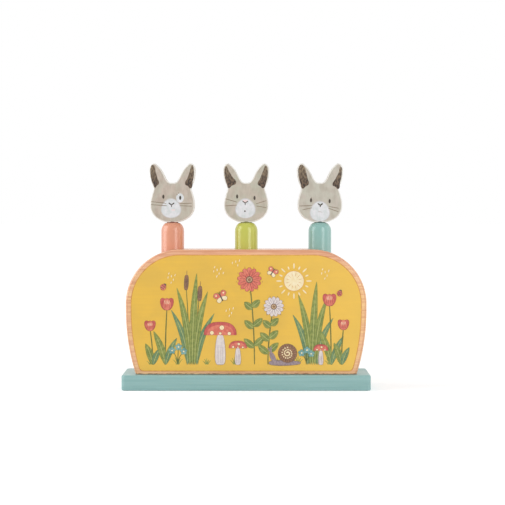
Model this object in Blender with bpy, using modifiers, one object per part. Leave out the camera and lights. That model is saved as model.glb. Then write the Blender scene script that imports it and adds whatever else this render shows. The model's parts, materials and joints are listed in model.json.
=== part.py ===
"""A pop-up rabbit toy: three pegs with rabbit heads that stand on springs in a wooden block.

Units are metres, +Z is up and the front faces -Y. The origin is the centre of the board's
underside. Left and right are as seen from the front, so left is -X.
"""

import math

import bmesh
import bpy
from mathutils import Vector

# The gap that pieces keep where one rests on another, how far a cutter runs past a face, and how
# near two points of a mesh lie when they are one
SEAT_GAP = 0.0003
OVERRUN = 0.002
WELD_DISTANCE = 0.000005

# Base board, and how far it stands out around the block
BOARD_WIDTH = 0.240
BOARD_DEPTH = 0.066
BOARD_THICKNESS = 0.015
BOARD_CORNER_RADIUS = 0.004
BOARD_EDGE_RADIUS = 0.0016
BOARD_SIDE_MARGIN = 0.0037
BOARD_FRONT_MARGIN = 0.008

# Block: a flat top runs into two large round corners, a short straight side follows, and below it
# the sides draw in along a long arc to the foot
BLOCK_HEIGHT = 0.1203
BLOCK_CORNER_RADIUS = 0.0525
BLOCK_STRAIGHT_SIDE = 0.0068
BLOCK_SIDE_RADIUS = 0.203
BLOCK_EDGE_RADIUS = 0.0028

# Pegs, their bores and the way they stand in them. The outer pegs keep their distance from the
# block's ends, and the third stands midway.
PEG_END_DISTANCE = 0.0443
PEG_RADIUS = 0.01125
PEG_FLAT_RADIUS = 0.0053
PEG_SHOULDER_HEIGHT = 0.0086
PEG_SHOWN = 0.0256
PEG_IN_BORE = 0.040
PEG_FOOT_CHAMFER = 0.001
BORE_CLEARANCE = 0.00035
BORE_MOUTH_CHAMFER = 0.0006

# Rabbit heads, cut from a sheet of plywood
HEAD_THICKNESS = 0.010
HEAD_HALF_WIDTH = 0.0222
HEAD_HEIGHT = 0.0576
HEAD_EDGE_RADIUS = 0.0009

# Wooden pins between pegs and heads
DOWEL_RADIUS = 0.003
DOWEL_IN_PEG = 0.010
DOWEL_IN_HEAD = 0.012
DOWEL_CHAMFER = 0.0005

# Springs: an inner ring that spirals out flat on the bore's floor, then open coils up to the peg
SPRING_HEIGHT = 0.0454
SPRING_RADIUS = 0.009
SPRING_WIRE = 0.001
SPRING_RING_RADIUS = 0.0040
SPRING_RING_PITCH = 0.0017
SPRING_ACTIVE_TURNS = 7.5
SPRING_RING_TURNS = 1.0
SPRING_RUN_OUT_TURNS = 0.8
SPRING_FLAT_END_TURNS = 0.6
SPRING_POINTS_PER_TURN = 10

# The washer and the round-head screw that hold the spring's ring down
WASHER_RADIUS = 0.006
WASHER_THICKNESS = 0.001
WASHER_SCREW_RADIUS = 0.0015
WASHER_SCREW_LENGTH = 0.014
WASHER_SCREW_HEAD_RADIUS = 0.0031
WASHER_SCREW_HEAD_HEIGHT = 0.0021

# Countersunk screws through the board into the block: one near each end, and one between two pegs
BASE_SCREW_END_DISTANCE = 0.0243
BASE_SCREW_LENGTH = 0.032
BASE_SCREW_RADIUS = 0.0019
BASE_SCREW_HEAD_RADIUS = 0.0039
BASE_SCREW_HEAD_HEIGHT = 0.0025
BASE_SCREW_RECESS = 0.0006
SCREW_POINT_LENGTH = 0.003

# How finely the round forms are cut
PEG_STEPS = 40
SMALL_STEPS = 16
ARC_STEPS_PER_QUARTER = 16

# Into how many steps an edge of a head is divided to find where it meets the rim of its bore
EDGE_SAMPLES = 200

# The head's right half, chin to notch. Each point is a share of the half width and of the height.
HEAD_OUTLINE_SHARES = (
    (0.0, 0.0),
    (0.57, 0.046),
    (0.897, 0.165),
    (0.973, 0.310),
    (0.899, 0.465),
    (0.827, 0.580),
    (0.937, 0.690),
    (1.0, 0.830),
    (0.985, 0.935),
    (0.800, 1.0),
    (0.655, 0.9635),
    (0.498, 0.896),
    (0.372, 0.8125),
    (0.260, 0.727),
    (0.143, 0.679),
    (0.0, 0.672),
)

# Sizes and places that follow from the sizes above
BLOCK_WIDTH = BOARD_WIDTH - 2 * BOARD_SIDE_MARGIN
BLOCK_DEPTH = BOARD_DEPTH - 2 * BOARD_FRONT_MARGIN
BLOCK_WAIST_HEIGHT = BLOCK_HEIGHT - BLOCK_CORNER_RADIUS - BLOCK_STRAIGHT_SIDE
BLOCK_FOOT = BOARD_THICKNESS + SEAT_GAP
BLOCK_TOP = BLOCK_FOOT + BLOCK_HEIGHT
PEG_TOP = BLOCK_TOP + PEG_SHOWN
PEG_FOOT = BLOCK_TOP - PEG_IN_BORE
BORE_RADIUS = PEG_RADIUS + BORE_CLEARANCE
BORE_FLOOR = PEG_FOOT - SEAT_GAP - SPRING_HEIGHT - SEAT_GAP
SPRING_FOOT = BORE_FLOOR + SEAT_GAP
WASHER_FOOT = SPRING_FOOT + SPRING_WIRE + SEAT_GAP
WASHER_SCREW_SEAT = WASHER_FOOT + WASHER_THICKNESS + SEAT_GAP
HEAD_CHIN = PEG_TOP + SEAT_GAP
PEG_SPACING = BLOCK_WIDTH / 2 - PEG_END_DISTANCE
PEG_PLACES = {"left": -PEG_SPACING, "middle": 0.0, "right": PEG_SPACING}
BASE_SCREW_PLACES = (
    BASE_SCREW_END_DISTANCE - BLOCK_WIDTH / 2,
    -PEG_SPACING / 2,
    PEG_SPACING / 2,
    BLOCK_WIDTH / 2 - BASE_SCREW_END_DISTANCE,
)


def clear_scene():
    """Remove what the file opened with."""
    for thing in list(bpy.data.objects):
        bpy.data.objects.remove(thing, do_unlink=True)


def new_collection(name):
    """A collection of its own for the pieces, and one for the cutters."""
    collection = bpy.data.collections.new(name)
    bpy.context.scene.collection.children.link(collection)
    return collection


def new_material(name, red, green, blue, roughness, metallic=0.0):
    """One Principled BSDF with the piece's linear colour, roughness and metallic value."""
    colour = (red, green, blue, 1.0)
    material = bpy.data.materials.new(name)
    material.use_nodes = True
    shader = material.node_tree.nodes["Principled BSDF"]
    shader.inputs["Base Color"].default_value = colour
    shader.inputs["Roughness"].default_value = roughness
    shader.inputs["Metallic"].default_value = metallic
    material.diffuse_color = colour
    return material


def link_mesh(name, mesh, collection, material=None):
    """Wrap a mesh in a named object."""
    piece = bpy.data.objects.new(name, mesh)
    collection.objects.link(piece)
    if material:
        mesh.materials.append(material)
    return piece


def place(piece, parent=None, x=0.0, z=0.0):
    """Put a piece at a place on the centre plane, under its parent if it has one."""
    piece.parent = parent
    start = parent.location if parent else Vector()
    piece.location = (x - start.x, -start.y, z - start.z)
    return piece


def shade_round(piece):
    """Smooth shading with the true edges kept crisp."""
    piece.data.shade_smooth()
    piece.data.set_sharp_from_angle(angle=math.radians(35))


def turned(name, profile, collection, material=None, steps=PEG_STEPS):
    """A turned solid. The profile is (radius, height) points, down the outer side from the top.

    A profile that ends off the axis is a ring's section, and is closed.
    """
    mesh = bpy.data.meshes.new(name)
    points = [(radius, 0.0, height) for radius, height in profile]
    edges = [(index, index + 1) for index in range(len(points) - 1)]
    if profile[-1][0] > 0:
        edges.append((len(points) - 1, 0))
    mesh.from_pydata(points, edges, [])
    piece = link_mesh(name, mesh, collection, material)
    screw = piece.modifiers.new("turn", "SCREW")
    screw.axis = "Z"
    screw.steps = steps
    screw.render_steps = steps
    screw.use_merge_vertices = True
    screw.merge_threshold = WELD_DISTANCE
    screw.use_smooth_shade = True
    return piece


def cut(piece, cutter):
    """Take the cutter's shape out of the piece."""
    cutter.hide_render = True
    cutter.display_type = "WIRE"
    boolean = piece.modifiers.new("cut " + cutter.name, "BOOLEAN")
    boolean.operation = "DIFFERENCE"
    boolean.solver = "EXACT"
    boolean.object = cutter


def arc(centre_x, centre_z, radius, start_degrees, end_degrees):
    """Points along an arc, closer together the smaller the arc's share of a quarter turn."""
    span = end_degrees - start_degrees
    steps = max(4, math.ceil(abs(span) / 90 * ARC_STEPS_PER_QUARTER))
    angles = [math.radians(start_degrees + span * step / steps) for step in range(steps + 1)]
    return [(centre_x + radius * math.cos(a), centre_z + radius * math.sin(a)) for a in angles]


def upright_sheet(name, points, thickness, edge_radius, smooth_outline, edge_rings):
    """A flat outline in the XZ plane given a thickness along Y, with its edges rounded over."""
    curve = bpy.data.curves.new(name + " outline", "CURVE")
    curve.dimensions = "2D"
    curve.fill_mode = "BOTH"
    curve.extrude = thickness / 2 - edge_radius
    curve.bevel_depth = edge_radius
    curve.bevel_resolution = edge_rings
    curve.offset = -edge_radius
    curve.resolution_u = 3
    if smooth_outline:
        spline = curve.splines.new("BEZIER")
        spline.bezier_points.add(len(points) - 1)
        for corner, (x, z) in zip(spline.bezier_points, points):
            corner.co = (x, z, 0.0)
            corner.handle_left_type = "AUTO"
            corner.handle_right_type = "AUTO"
    else:
        spline = curve.splines.new("POLY")
        spline.points.add(len(points) - 1)
        for corner, (x, z) in zip(spline.points, points):
            corner.co = (x, z, 0.0, 1.0)
    spline.use_cyclic_u = True
    flat = bpy.data.objects.new(name + " outline", curve)
    bpy.context.scene.collection.objects.link(flat)
    flat.rotation_euler.x = math.radians(90)
    bpy.context.view_layer.update()
    return flat


def mesh_from_curve(name, flat, collection, material):
    """Turn a curve object into a welded mesh object, and remove the curve."""
    evaluated = flat.evaluated_get(bpy.context.evaluated_depsgraph_get())
    mesh = bpy.data.meshes.new_from_object(evaluated)
    mesh.name = name
    mesh.transform(flat.matrix_world)
    welded = bmesh.new()
    welded.from_mesh(mesh)
    bmesh.ops.remove_doubles(welded, verts=welded.verts, dist=WELD_DISTANCE)
    bmesh.ops.recalc_face_normals(welded, faces=welded.faces)
    welded.to_mesh(mesh)
    welded.free()
    mesh.materials.clear()
    piece = link_mesh(name, mesh, collection, material)
    shade_round(piece)
    bpy.data.objects.remove(flat, do_unlink=True)
    return piece


def base_board(parts, cutters, paint):
    """A flat board with round corners and eased edges, countersunk from below for its screws."""
    board = bmesh.new()
    bmesh.ops.create_cube(board, size=1.0)
    bmesh.ops.scale(board, vec=(BOARD_WIDTH, BOARD_DEPTH, BOARD_THICKNESS), verts=board.verts)
    bmesh.ops.translate(board, vec=(0.0, 0.0, BOARD_THICKNESS / 2), verts=board.verts)
    upright = [e for e in board.edges if abs(e.verts[0].co.z - e.verts[1].co.z) > BOARD_THICKNESS / 2]
    bmesh.ops.bevel(
        board, geom=upright, offset=BOARD_CORNER_RADIUS, segments=6, profile=0.5, affect="EDGES"
    )
    mesh = bpy.data.meshes.new("base_board")
    board.to_mesh(mesh)
    board.free()
    piece = link_mesh("base_board", mesh, parts, paint)
    ease_edges(piece, BOARD_EDGE_RADIUS)
    for number, x in enumerate(BASE_SCREW_PLACES, start=1):
        hole = turned(f"board screw hole {number}", board_hole_profile(), cutters, steps=SMALL_STEPS)
        place(hole, x=x)
        cut(piece, hole)
    return piece


def ease_edges(piece, radius):
    """Round the sharp edges that are left."""
    bevel = piece.modifiers.new("eased edges", "BEVEL")
    bevel.width = radius
    bevel.segments = 3
    bevel.limit_method = "ANGLE"
    bevel.angle_limit = math.radians(50)
    bevel.use_clamp_overlap = True


def board_hole_profile():
    """A clearance hole with a countersink that leaves the screw's head just below the face."""
    hole = BASE_SCREW_RADIUS + SEAT_GAP
    mouth = BASE_SCREW_HEAD_RADIUS + SEAT_GAP
    sink_top = BASE_SCREW_RECESS + BASE_SCREW_HEAD_HEIGHT
    return [
        (0.0, BOARD_THICKNESS + OVERRUN),
        (hole, BOARD_THICKNESS + OVERRUN),
        (hole, sink_top),
        (mouth, BASE_SCREW_RECESS),
        (mouth, -OVERRUN),
        (0.0, -OVERRUN),
    ]


def block_half_outline():
    """The block's right half, from the start of its round corner down past its foot.

    It runs on by the radius of the rounded rims, because the foot is sawn off square.
    """
    side = BLOCK_WIDTH / 2
    corner_x = side - BLOCK_CORNER_RADIUS
    corner_z = BLOCK_HEIGHT - BLOCK_CORNER_RADIUS
    corner = arc(corner_x, corner_z, BLOCK_CORNER_RADIUS, 90, 0)
    fall = BLOCK_WAIST_HEIGHT + BLOCK_EDGE_RADIUS
    drop = math.degrees(math.asin(fall / BLOCK_SIDE_RADIUS))
    flank = arc(side - BLOCK_SIDE_RADIUS, BLOCK_WAIST_HEIGHT, BLOCK_SIDE_RADIUS, 0, -drop)
    return corner + flank


def foot_saw(cutters):
    """The box that takes off all of the block that lies below its foot."""
    height = BLOCK_EDGE_RADIUS + OVERRUN
    box = bmesh.new()
    bmesh.ops.create_cube(box, size=1.0)
    bmesh.ops.scale(box, vec=(BLOCK_WIDTH, BLOCK_DEPTH + OVERRUN, height), verts=box.verts)
    bmesh.ops.translate(box, vec=(0.0, 0.0, -height / 2), verts=box.verts)
    mesh = bpy.data.meshes.new("foot saw")
    box.to_mesh(mesh)
    box.free()
    return place(link_mesh("foot saw", mesh, cutters), z=BLOCK_FOOT)


def body_block(parts, cutters, paint):
    """The solid block, bored from above for the pegs and drilled from below for the board's screws."""
    right = block_half_outline()
    left = [(-x, z) for x, z in reversed(right)]
    flat = upright_sheet(
        "body_block", right + left, BLOCK_DEPTH, BLOCK_EDGE_RADIUS, smooth_outline=False, edge_rings=1
    )
    piece = mesh_from_curve("body_block", flat, parts, paint)
    place(piece, z=BLOCK_FOOT)
    cut(piece, foot_saw(cutters))
    for side, x in PEG_PLACES.items():
        bore = turned(f"{side} bore", bore_profile(), cutters)
        place(bore, x=x)
        cut(piece, bore)
    for number, x in enumerate(BASE_SCREW_PLACES, start=1):
        pilot = turned(f"block screw hole {number}", pilot_profile(), cutters, steps=SMALL_STEPS)
        place(pilot, x=x)
        cut(piece, pilot)
    return piece


def bore_profile():
    """A flat-bottomed bore with an eased mouth, and a pilot hole in its floor."""
    pilot = WASHER_SCREW_RADIUS + SEAT_GAP
    pilot_end = WASHER_SCREW_SEAT - WASHER_SCREW_LENGTH - SEAT_GAP
    mouth = BORE_RADIUS + BORE_MOUTH_CHAMFER + OVERRUN
    return [
        (0.0, BLOCK_TOP + OVERRUN),
        (mouth, BLOCK_TOP + OVERRUN),
        (BORE_RADIUS, BLOCK_TOP - BORE_MOUTH_CHAMFER),
        (BORE_RADIUS, BORE_FLOOR),
        (pilot, BORE_FLOOR),
        (pilot, pilot_end),
        (0.0, pilot_end - pilot),
    ]


def pilot_profile():
    """The hole that takes a board screw, open at the block's underside."""
    pilot = BASE_SCREW_RADIUS + SEAT_GAP
    end = BASE_SCREW_RECESS + BASE_SCREW_LENGTH + SEAT_GAP
    return [
        (0.0, end),
        (pilot, end - pilot),
        (pilot, BLOCK_FOOT - OVERRUN),
        (0.0, BLOCK_FOOT - OVERRUN),
    ]


def peg_profile():
    """The peg, from the bottom of its dowel hole up, over the round shoulder and down to the foot."""
    hole = DOWEL_RADIUS + SEAT_GAP
    hole_end = PEG_TOP - DOWEL_IN_PEG - SEAT_GAP
    reach = PEG_RADIUS - PEG_FLAT_RADIUS
    shoulder_foot = PEG_TOP - PEG_SHOULDER_HEIGHT
    profile = [(0.0, hole_end), (hole, hole_end), (hole, PEG_TOP)]
    steps = 8
    for step in range(steps + 1):
        angle = math.pi / 2 * (1 - step / steps)
        profile.append(
            (
                PEG_FLAT_RADIUS + reach * math.cos(angle),
                shoulder_foot + PEG_SHOULDER_HEIGHT * math.sin(angle),
            )
        )
    profile.append((PEG_RADIUS, PEG_FOOT + PEG_FOOT_CHAMFER))
    profile.append((PEG_RADIUS - PEG_FOOT_CHAMFER, PEG_FOOT))
    profile.append((0.0, PEG_FOOT))
    return profile


def peg(side, parts, axis, lacquer):
    """A turned peg, with a blind hole in its flat top for the dowel."""
    piece = turned(f"peg_{side}", shift(peg_profile(), -BLOCK_TOP), parts, lacquer)
    return place(piece, axis, x=PEG_PLACES[side], z=BLOCK_TOP)


def shift(profile, height):
    """Move a profile up or down, so that the piece's own origin lies where it should."""
    return [(radius, z + height) for radius, z in profile]


def rabbit_head(side, parts, cutters, axis, wood):
    """A flat rabbit's head with two upright ears, drilled from the chin for the dowel."""
    right = [(x * HEAD_HALF_WIDTH, z * HEAD_HEIGHT) for x, z in HEAD_OUTLINE_SHARES]
    left = [(-x, z) for x, z in reversed(right[1:-1])]
    name = f"rabbit_head_{side}"
    flat = upright_sheet(
        name, right + left, HEAD_THICKNESS, HEAD_EDGE_RADIUS, smooth_outline=True, edge_rings=1
    )
    piece = mesh_from_curve(name, flat, parts, wood)
    place(piece, axis, x=PEG_PLACES[side], z=HEAD_CHIN)
    hole = DOWEL_RADIUS + SEAT_GAP
    drill = turned(
        f"{side} chin hole",
        [
            (0.0, DOWEL_IN_HEAD + SEAT_GAP),
            (hole, DOWEL_IN_HEAD + SEAT_GAP),
            (hole, -OVERRUN),
            (0.0, -OVERRUN),
        ],
        cutters,
        steps=SMALL_STEPS,
    )
    place(drill, axis, x=PEG_PLACES[side], z=HEAD_CHIN)
    cut(piece, drill)
    return piece


def head_dowel(side, parts, axis, wood):
    """The pin that joins a head to its peg, half in each."""
    foot = -DOWEL_IN_PEG
    top = SEAT_GAP + DOWEL_IN_HEAD
    profile = [
        (0.0, top),
        (DOWEL_RADIUS - DOWEL_CHAMFER, top),
        (DOWEL_RADIUS, top - DOWEL_CHAMFER),
        (DOWEL_RADIUS, foot + DOWEL_CHAMFER),
        (DOWEL_RADIUS - DOWEL_CHAMFER, foot),
        (0.0, foot),
    ]
    piece = turned(f"head_dowel_{side}", profile, parts, wood, steps=SMALL_STEPS)
    return place(piece, axis, x=PEG_PLACES[side], z=PEG_TOP)


def spring_line():
    """The centre line of a spring's wire, from its inner ring to its flat upper end."""
    ring = SPRING_RING_TURNS + SPRING_RUN_OUT_TURNS
    ring_end_radius = SPRING_RING_RADIUS + SPRING_RING_PITCH * SPRING_RING_TURNS
    climb = SPRING_HEIGHT - SPRING_WIRE
    turns = ring + SPRING_ACTIVE_TURNS + SPRING_FLAT_END_TURNS
    count = round(turns * SPRING_POINTS_PER_TURN)
    line = []
    for index in range(count + 1):
        turn = turns * index / count
        if turn < SPRING_RING_TURNS:
            radius = SPRING_RING_RADIUS + SPRING_RING_PITCH * turn
        else:
            out = min(1.0, (turn - SPRING_RING_TURNS) / SPRING_RUN_OUT_TURNS)
            radius = ring_end_radius + (SPRING_RADIUS - ring_end_radius) * out
        share = min(1.0, max(0.0, (turn - ring) / SPRING_ACTIVE_TURNS))
        angle = 2 * math.pi * turn
        height = SPRING_WIRE / 2 + climb * share
        line.append(Vector((radius * math.cos(angle), radius * math.sin(angle), height)))
    return line


def least_gap_to_itself(line):
    """How near the wire comes to itself, apart from its own next half turn."""
    apart = SPRING_POINTS_PER_TURN // 2
    gaps = []
    for index, point in enumerate(line):
        for start, end in zip(line[index + apart:], line[index + apart + 1:]):
            along = end - start
            share = max(0.0, min(1.0, (point - start).dot(along) / along.length_squared))
            gaps.append((point - start - along * share).length)
    return min(gaps) - SPRING_WIRE


def spring(side, parts, steel):
    """A compression spring as one unbroken wire."""
    line = spring_line()
    curve = bpy.data.curves.new(f"spring_{side}", "CURVE")
    curve.dimensions = "3D"
    curve.bevel_depth = SPRING_WIRE / 2
    curve.bevel_resolution = 1
    curve.use_fill_caps = True
    spline = curve.splines.new("POLY")
    spline.points.add(len(line) - 1)
    for knot, point in zip(spline.points, line):
        knot.co = (*point, 1.0)
    curve.materials.append(steel)
    piece = bpy.data.objects.new(f"spring_{side}", curve)
    parts.objects.link(piece)
    return place(piece, x=PEG_PLACES[side], z=SPRING_FOOT)


def spring_washer(side, parts, steel):
    """The flat washer over the spring's inner ring."""
    hole = WASHER_SCREW_RADIUS + SEAT_GAP
    profile = [
        (hole, WASHER_THICKNESS),
        (WASHER_RADIUS, WASHER_THICKNESS),
        (WASHER_RADIUS, 0.0),
        (hole, 0.0),
    ]
    piece = turned(f"spring_washer_{side}", profile, parts, steel, steps=2 * SMALL_STEPS)
    return place(piece, x=PEG_PLACES[side], z=WASHER_FOOT)


def spring_screw(side, parts, steel):
    """A round-head screw, driven down through the washer and the ring into the block."""
    steps = 4
    profile = []
    for step in range(steps + 1):
        angle = math.pi / 2 * (1 - step / steps)
        profile.append(
            (WASHER_SCREW_HEAD_RADIUS * math.cos(angle), WASHER_SCREW_HEAD_HEIGHT * math.sin(angle))
        )
    profile += [
        (WASHER_SCREW_RADIUS, 0.0),
        (WASHER_SCREW_RADIUS, SCREW_POINT_LENGTH - WASHER_SCREW_LENGTH),
        (0.0, -WASHER_SCREW_LENGTH),
    ]
    piece = turned(f"spring_screw_{side}", profile, parts, steel, steps=SMALL_STEPS)
    return place(piece, x=PEG_PLACES[side], z=WASHER_SCREW_SEAT)


def base_screw(number, x, parts, steel):
    """A countersunk wood screw that points up, its head in the board's countersink."""
    profile = [
        (0.0, BASE_SCREW_LENGTH),
        (BASE_SCREW_RADIUS, BASE_SCREW_LENGTH - SCREW_POINT_LENGTH),
        (BASE_SCREW_RADIUS, BASE_SCREW_HEAD_HEIGHT),
        (BASE_SCREW_HEAD_RADIUS, 0.0),
        (0.0, 0.0),
    ]
    piece = turned(f"base_screw_{number}", profile, parts, steel, steps=SMALL_STEPS)
    return place(piece, x=x, z=BASE_SCREW_RECESS)


def peg_axis(side, parts):
    """An empty on the line that a rabbit slides along, at the mouth of its bore."""
    axis = bpy.data.objects.new(f"rabbit axis {side}", None)
    axis.empty_display_size = PEG_RADIUS
    axis.location = (PEG_PLACES[side], 0.0, BLOCK_TOP)
    parts.objects.link(axis)
    return axis


def press_travel():
    """How far a rabbit goes down before its chin meets the rim of its bore."""
    rim = (BORE_RADIUS + BORE_MOUTH_CHAMFER) * math.cos(math.pi / PEG_STEPS)
    head = bpy.data.objects["rabbit_head_middle"].data
    lowest = HEAD_HEIGHT
    for edge in head.edges:
        start, end = (head.vertices[index].co for index in edge.vertices)
        for step in range(EDGE_SAMPLES + 1):
            point = start.lerp(end, step / EDGE_SAMPLES)
            if math.hypot(point.x, point.y) >= rim:
                lowest = min(lowest, point.z)
    return HEAD_CHIN + lowest - BLOCK_TOP


def main():
    """Make every piece."""
    clear_scene()
    parts = new_collection("pop_up_rabbit_toy")
    cutters = new_collection("cutters")

    board_paint = new_material("teal paint", 0.29, 0.51, 0.46, roughness=0.55)
    block_paint = new_material("coral paint", 0.78, 0.38, 0.24, roughness=0.6)
    lacquers = {
        "left": new_material("coral lacquer", 0.73, 0.26, 0.16, roughness=0.3),
        "middle": new_material("lime lacquer", 0.53, 0.53, 0.08, roughness=0.3),
        "right": new_material("teal lacquer", 0.26, 0.47, 0.40, roughness=0.3),
    }
    plywood = new_material("painted plywood", 0.52, 0.46, 0.38, roughness=0.65)
    birch = new_material("birch", 0.67, 0.49, 0.29, roughness=0.7)
    spring_steel = new_material("spring steel", 0.31, 0.31, 0.31, roughness=0.3, metallic=1.0)
    zinc = new_material("zinc plate", 0.52, 0.52, 0.53, roughness=0.35, metallic=1.0)

    base_board(parts, cutters, board_paint)
    body_block(parts, cutters, block_paint)
    for side in PEG_PLACES:
        axis = peg_axis(side, parts)
        peg(side, parts, axis, lacquers[side])
        head_dowel(side, parts, axis, birch)
        rabbit_head(side, parts, cutters, axis, plywood)
        spring(side, parts, spring_steel)
        spring_washer(side, parts, zinc)
        spring_screw(side, parts, zinc)
    for number, x in enumerate(BASE_SCREW_PLACES, start=1):
        base_screw(number, x, parts, zinc)

    print(f"spring: least gap of the wire to itself {least_gap_to_itself(spring_line()) * 1000:.2f} mm")
    print(f"rabbits: travel down to the rim {press_travel() * 1000:.2f} mm")


main()
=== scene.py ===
# %% [markdown]
# # A pop-up rabbit toy
#
# Three turned pegs stand on springs in a thick wooden block, and each carries a flat rabbit's head.
# Press a head and the peg goes down; let go and it pops up. The construction comes from the CAD
# model, which we load first and never change. On top of it we model every visible piece again with
# finer edges, and give each its own finish: thin paint over wood, glossy lacquer, printed plywood
# and steel. All sizes are in metres, so `5.7 * MM` reads as 5.7 millimetres.

# %% Load the frame
import itertools
import json
import math

import bmesh
import bpy
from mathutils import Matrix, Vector


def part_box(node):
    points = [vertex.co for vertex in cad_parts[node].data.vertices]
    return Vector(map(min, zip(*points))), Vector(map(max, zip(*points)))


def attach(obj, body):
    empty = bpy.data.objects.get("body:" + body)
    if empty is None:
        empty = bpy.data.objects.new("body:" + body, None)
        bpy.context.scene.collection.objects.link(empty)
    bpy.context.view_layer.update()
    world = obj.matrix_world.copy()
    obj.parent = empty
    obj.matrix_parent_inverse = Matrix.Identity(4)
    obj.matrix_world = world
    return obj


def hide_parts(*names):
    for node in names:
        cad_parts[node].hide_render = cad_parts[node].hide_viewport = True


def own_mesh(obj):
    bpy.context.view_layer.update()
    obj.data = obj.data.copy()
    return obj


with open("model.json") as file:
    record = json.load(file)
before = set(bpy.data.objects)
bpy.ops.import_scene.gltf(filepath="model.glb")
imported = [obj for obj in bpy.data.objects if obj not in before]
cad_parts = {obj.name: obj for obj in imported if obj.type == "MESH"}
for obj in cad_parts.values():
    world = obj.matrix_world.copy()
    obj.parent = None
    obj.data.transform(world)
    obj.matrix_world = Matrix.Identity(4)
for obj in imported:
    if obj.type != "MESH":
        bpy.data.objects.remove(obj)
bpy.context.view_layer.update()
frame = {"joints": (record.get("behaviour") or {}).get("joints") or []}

MM = 0.001
SIDES = ("left", "middle", "right")

bpy.ops.object.select_all(action="DESELECT")
bpy.context.scene.view_settings.view_transform = "Standard"

# %% [markdown]
# ## The camera
#
# The toy is seen almost straight on, from a little above its own height and from well back, which is
# why its sides hardly show. A long lens at that distance gives the same flat look as the photograph.
# The slight tilt puts the toy in the middle of the square picture.

# %% Camera
CAMERA_PLACE = (6.1 * MM, -1483 * MM, 175 * MM)
CAMERA_TILT = math.radians(1.66)
SENSOR_WIDTH = 36
LENS = 108

level_view = math.radians(90)
bpy.ops.object.camera_add(location=CAMERA_PLACE, rotation=(level_view - CAMERA_TILT, 0, 0))
camera = bpy.context.object
camera.name = "camera"
camera.data.sensor_width = SENSOR_WIDTH
camera.data.lens = LENS
bpy.context.scene.camera = camera
print("camera", round(-CAMERA_PLACE[1], 3), "m in front, lens", LENS, "mm")

# %% [markdown]
# ## Shader sums as plain Python
#
# A material in Blender is a graph of nodes. Wiring each sum by hand hides what it means, so one small
# class wraps the output of a node. Adding or multiplying two of them makes the Math node, and its
# `node` method makes any other kind, with its sockets first and its settings after.

# %% The class for shader sums
def feed(node, sockets):
    """Lead wires into the named sockets of a node, or set them to plain values."""
    for name, value in sockets.items():
        if isinstance(value, Wire):
            value.tree.links.new(value.socket, node.inputs[name])
        else:
            node.inputs[name].default_value = value


class Wire:
    """The output of a node. Sums with it add Math nodes to the same material."""

    def __init__(self, tree, socket=None):
        self.tree = tree
        self.socket = socket

    def node(self, kind, sockets=None, output=0, **settings):
        """Add a node, feed its sockets, set it up and hand back one of its outputs."""
        made = self.tree.nodes.new(kind)
        for name, value in settings.items():
            setattr(made, name, value)
        feed(made, sockets or {})
        return Wire(self.tree, made.outputs[output])

    def math(self, operation, first, second=0.0, clamp=False):
        """One Math node."""
        return self.node("ShaderNodeMath", {0: first, 1: second}, operation=operation, use_clamp=clamp)

    def __add__(self, other):
        return self.math("ADD", self, other)

    __radd__ = __add__

    def __sub__(self, other):
        return self.math("SUBTRACT", self, other)

    def __rsub__(self, other):
        return self.math("SUBTRACT", other, self)

    def __mul__(self, other):
        return self.math("MULTIPLY", self, other)

    __rmul__ = __mul__

    def between(self, low, high):
        """Nought below low, one above high, and a soft step in between."""
        ends = {"Value": self, 1: low, 2: high}
        return self.node("ShaderNodeMapRange", ends, interpolation_type="SMOOTHSTEP")

    def mixed(self, first, second):
        """The first colour where this is nought, and the second where it is one."""
        return self.node("ShaderNodeMix", {0: self, 6: first, 7: second}, output=2, data_type="RGBA")


def colour(red, green, blue):
    """A colour as a paint chart gives it, 0 to 255, turned into the linear one that shaders use."""
    shares = [channel / 255 for channel in (red, green, blue)]
    low_slope, offset, power, knee = 12.92, 0.055, 2.4, 0.04045
    linear = [c / low_slope if c <= knee else ((c + offset) / (1 + offset)) ** power for c in shares]
    return (*linear, 1.0)


print("shader class ready: 1 - wire, wire * 0.5 and wire.mixed(a, b) all make nodes")

# %% [markdown]
# ## Wood shows through thin paint
#
# The block and the board are painted so thinly that the growth lines of the wood stay visible as
# pale and dark streaks along the grain. All paints and inks read the same streaks from the Object
# coordinates. So a line that starts in the coral rim runs on through the yellow print.

# %% Patterns that several finishes share
OBJECT_COORDINATES = 3


def place_on(wire, axis):
    """How far along X, Y or Z this point of the piece lies."""
    point = wire.node("ShaderNodeTexCoord", output=OBJECT_COORDINATES)
    return point.node("ShaderNodeSeparateXYZ", {0: point}, output="XYZ".index(axis))


def speckle(wire, size, detail=2.0, shift=0.0):
    """Noise, 0 to 1, whose grains have this size along X, Y and Z."""
    point = wire.node("ShaderNodeTexCoord", output=OBJECT_COORDINATES)
    scale = tuple(1 / length for length in size)
    moves = {"Vector": point, "Scale": scale, "Location": (shift, shift, shift)}
    placed = wire.node("ShaderNodeMapping", moves)
    return wire.node("ShaderNodeTexNoise", {"Vector": placed, "Scale": 1.0, "Detail": detail})


def growth_lines(wire, spacing=2.0 * MM):
    """The streaks of a plank whose grain runs along X, from 0 to 1."""
    broad = speckle(wire, (90 * MM, 40 * MM, spacing), detail=1.0)
    fine = speckle(wire, (40 * MM, 20 * MM, 0.35 * spacing), detail=2.0, shift=3.0)
    return broad.between(0.4, 0.6) * 0.6 + fine.between(0.38, 0.62) * 0.4


def new_finish(name):
    """An empty material, and a wire to start its sums from."""
    material = bpy.data.materials.new(name)
    material.use_nodes = True
    return material, Wire(material.node_tree)


def finished(material, look, roughness, relief=None, height=0.0, others=None):
    """Feed the material's shader. A relief raises the surface by a height where it is one."""
    sockets = {"Base Color": look, "Roughness": roughness, **(others or {})}
    if relief:
        sockets["Normal"] = relief.node("ShaderNodeBump", {"Height": relief, "Distance": height})
    feed(material.node_tree.nodes["Principled BSDF"], sockets)
    return material


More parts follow.
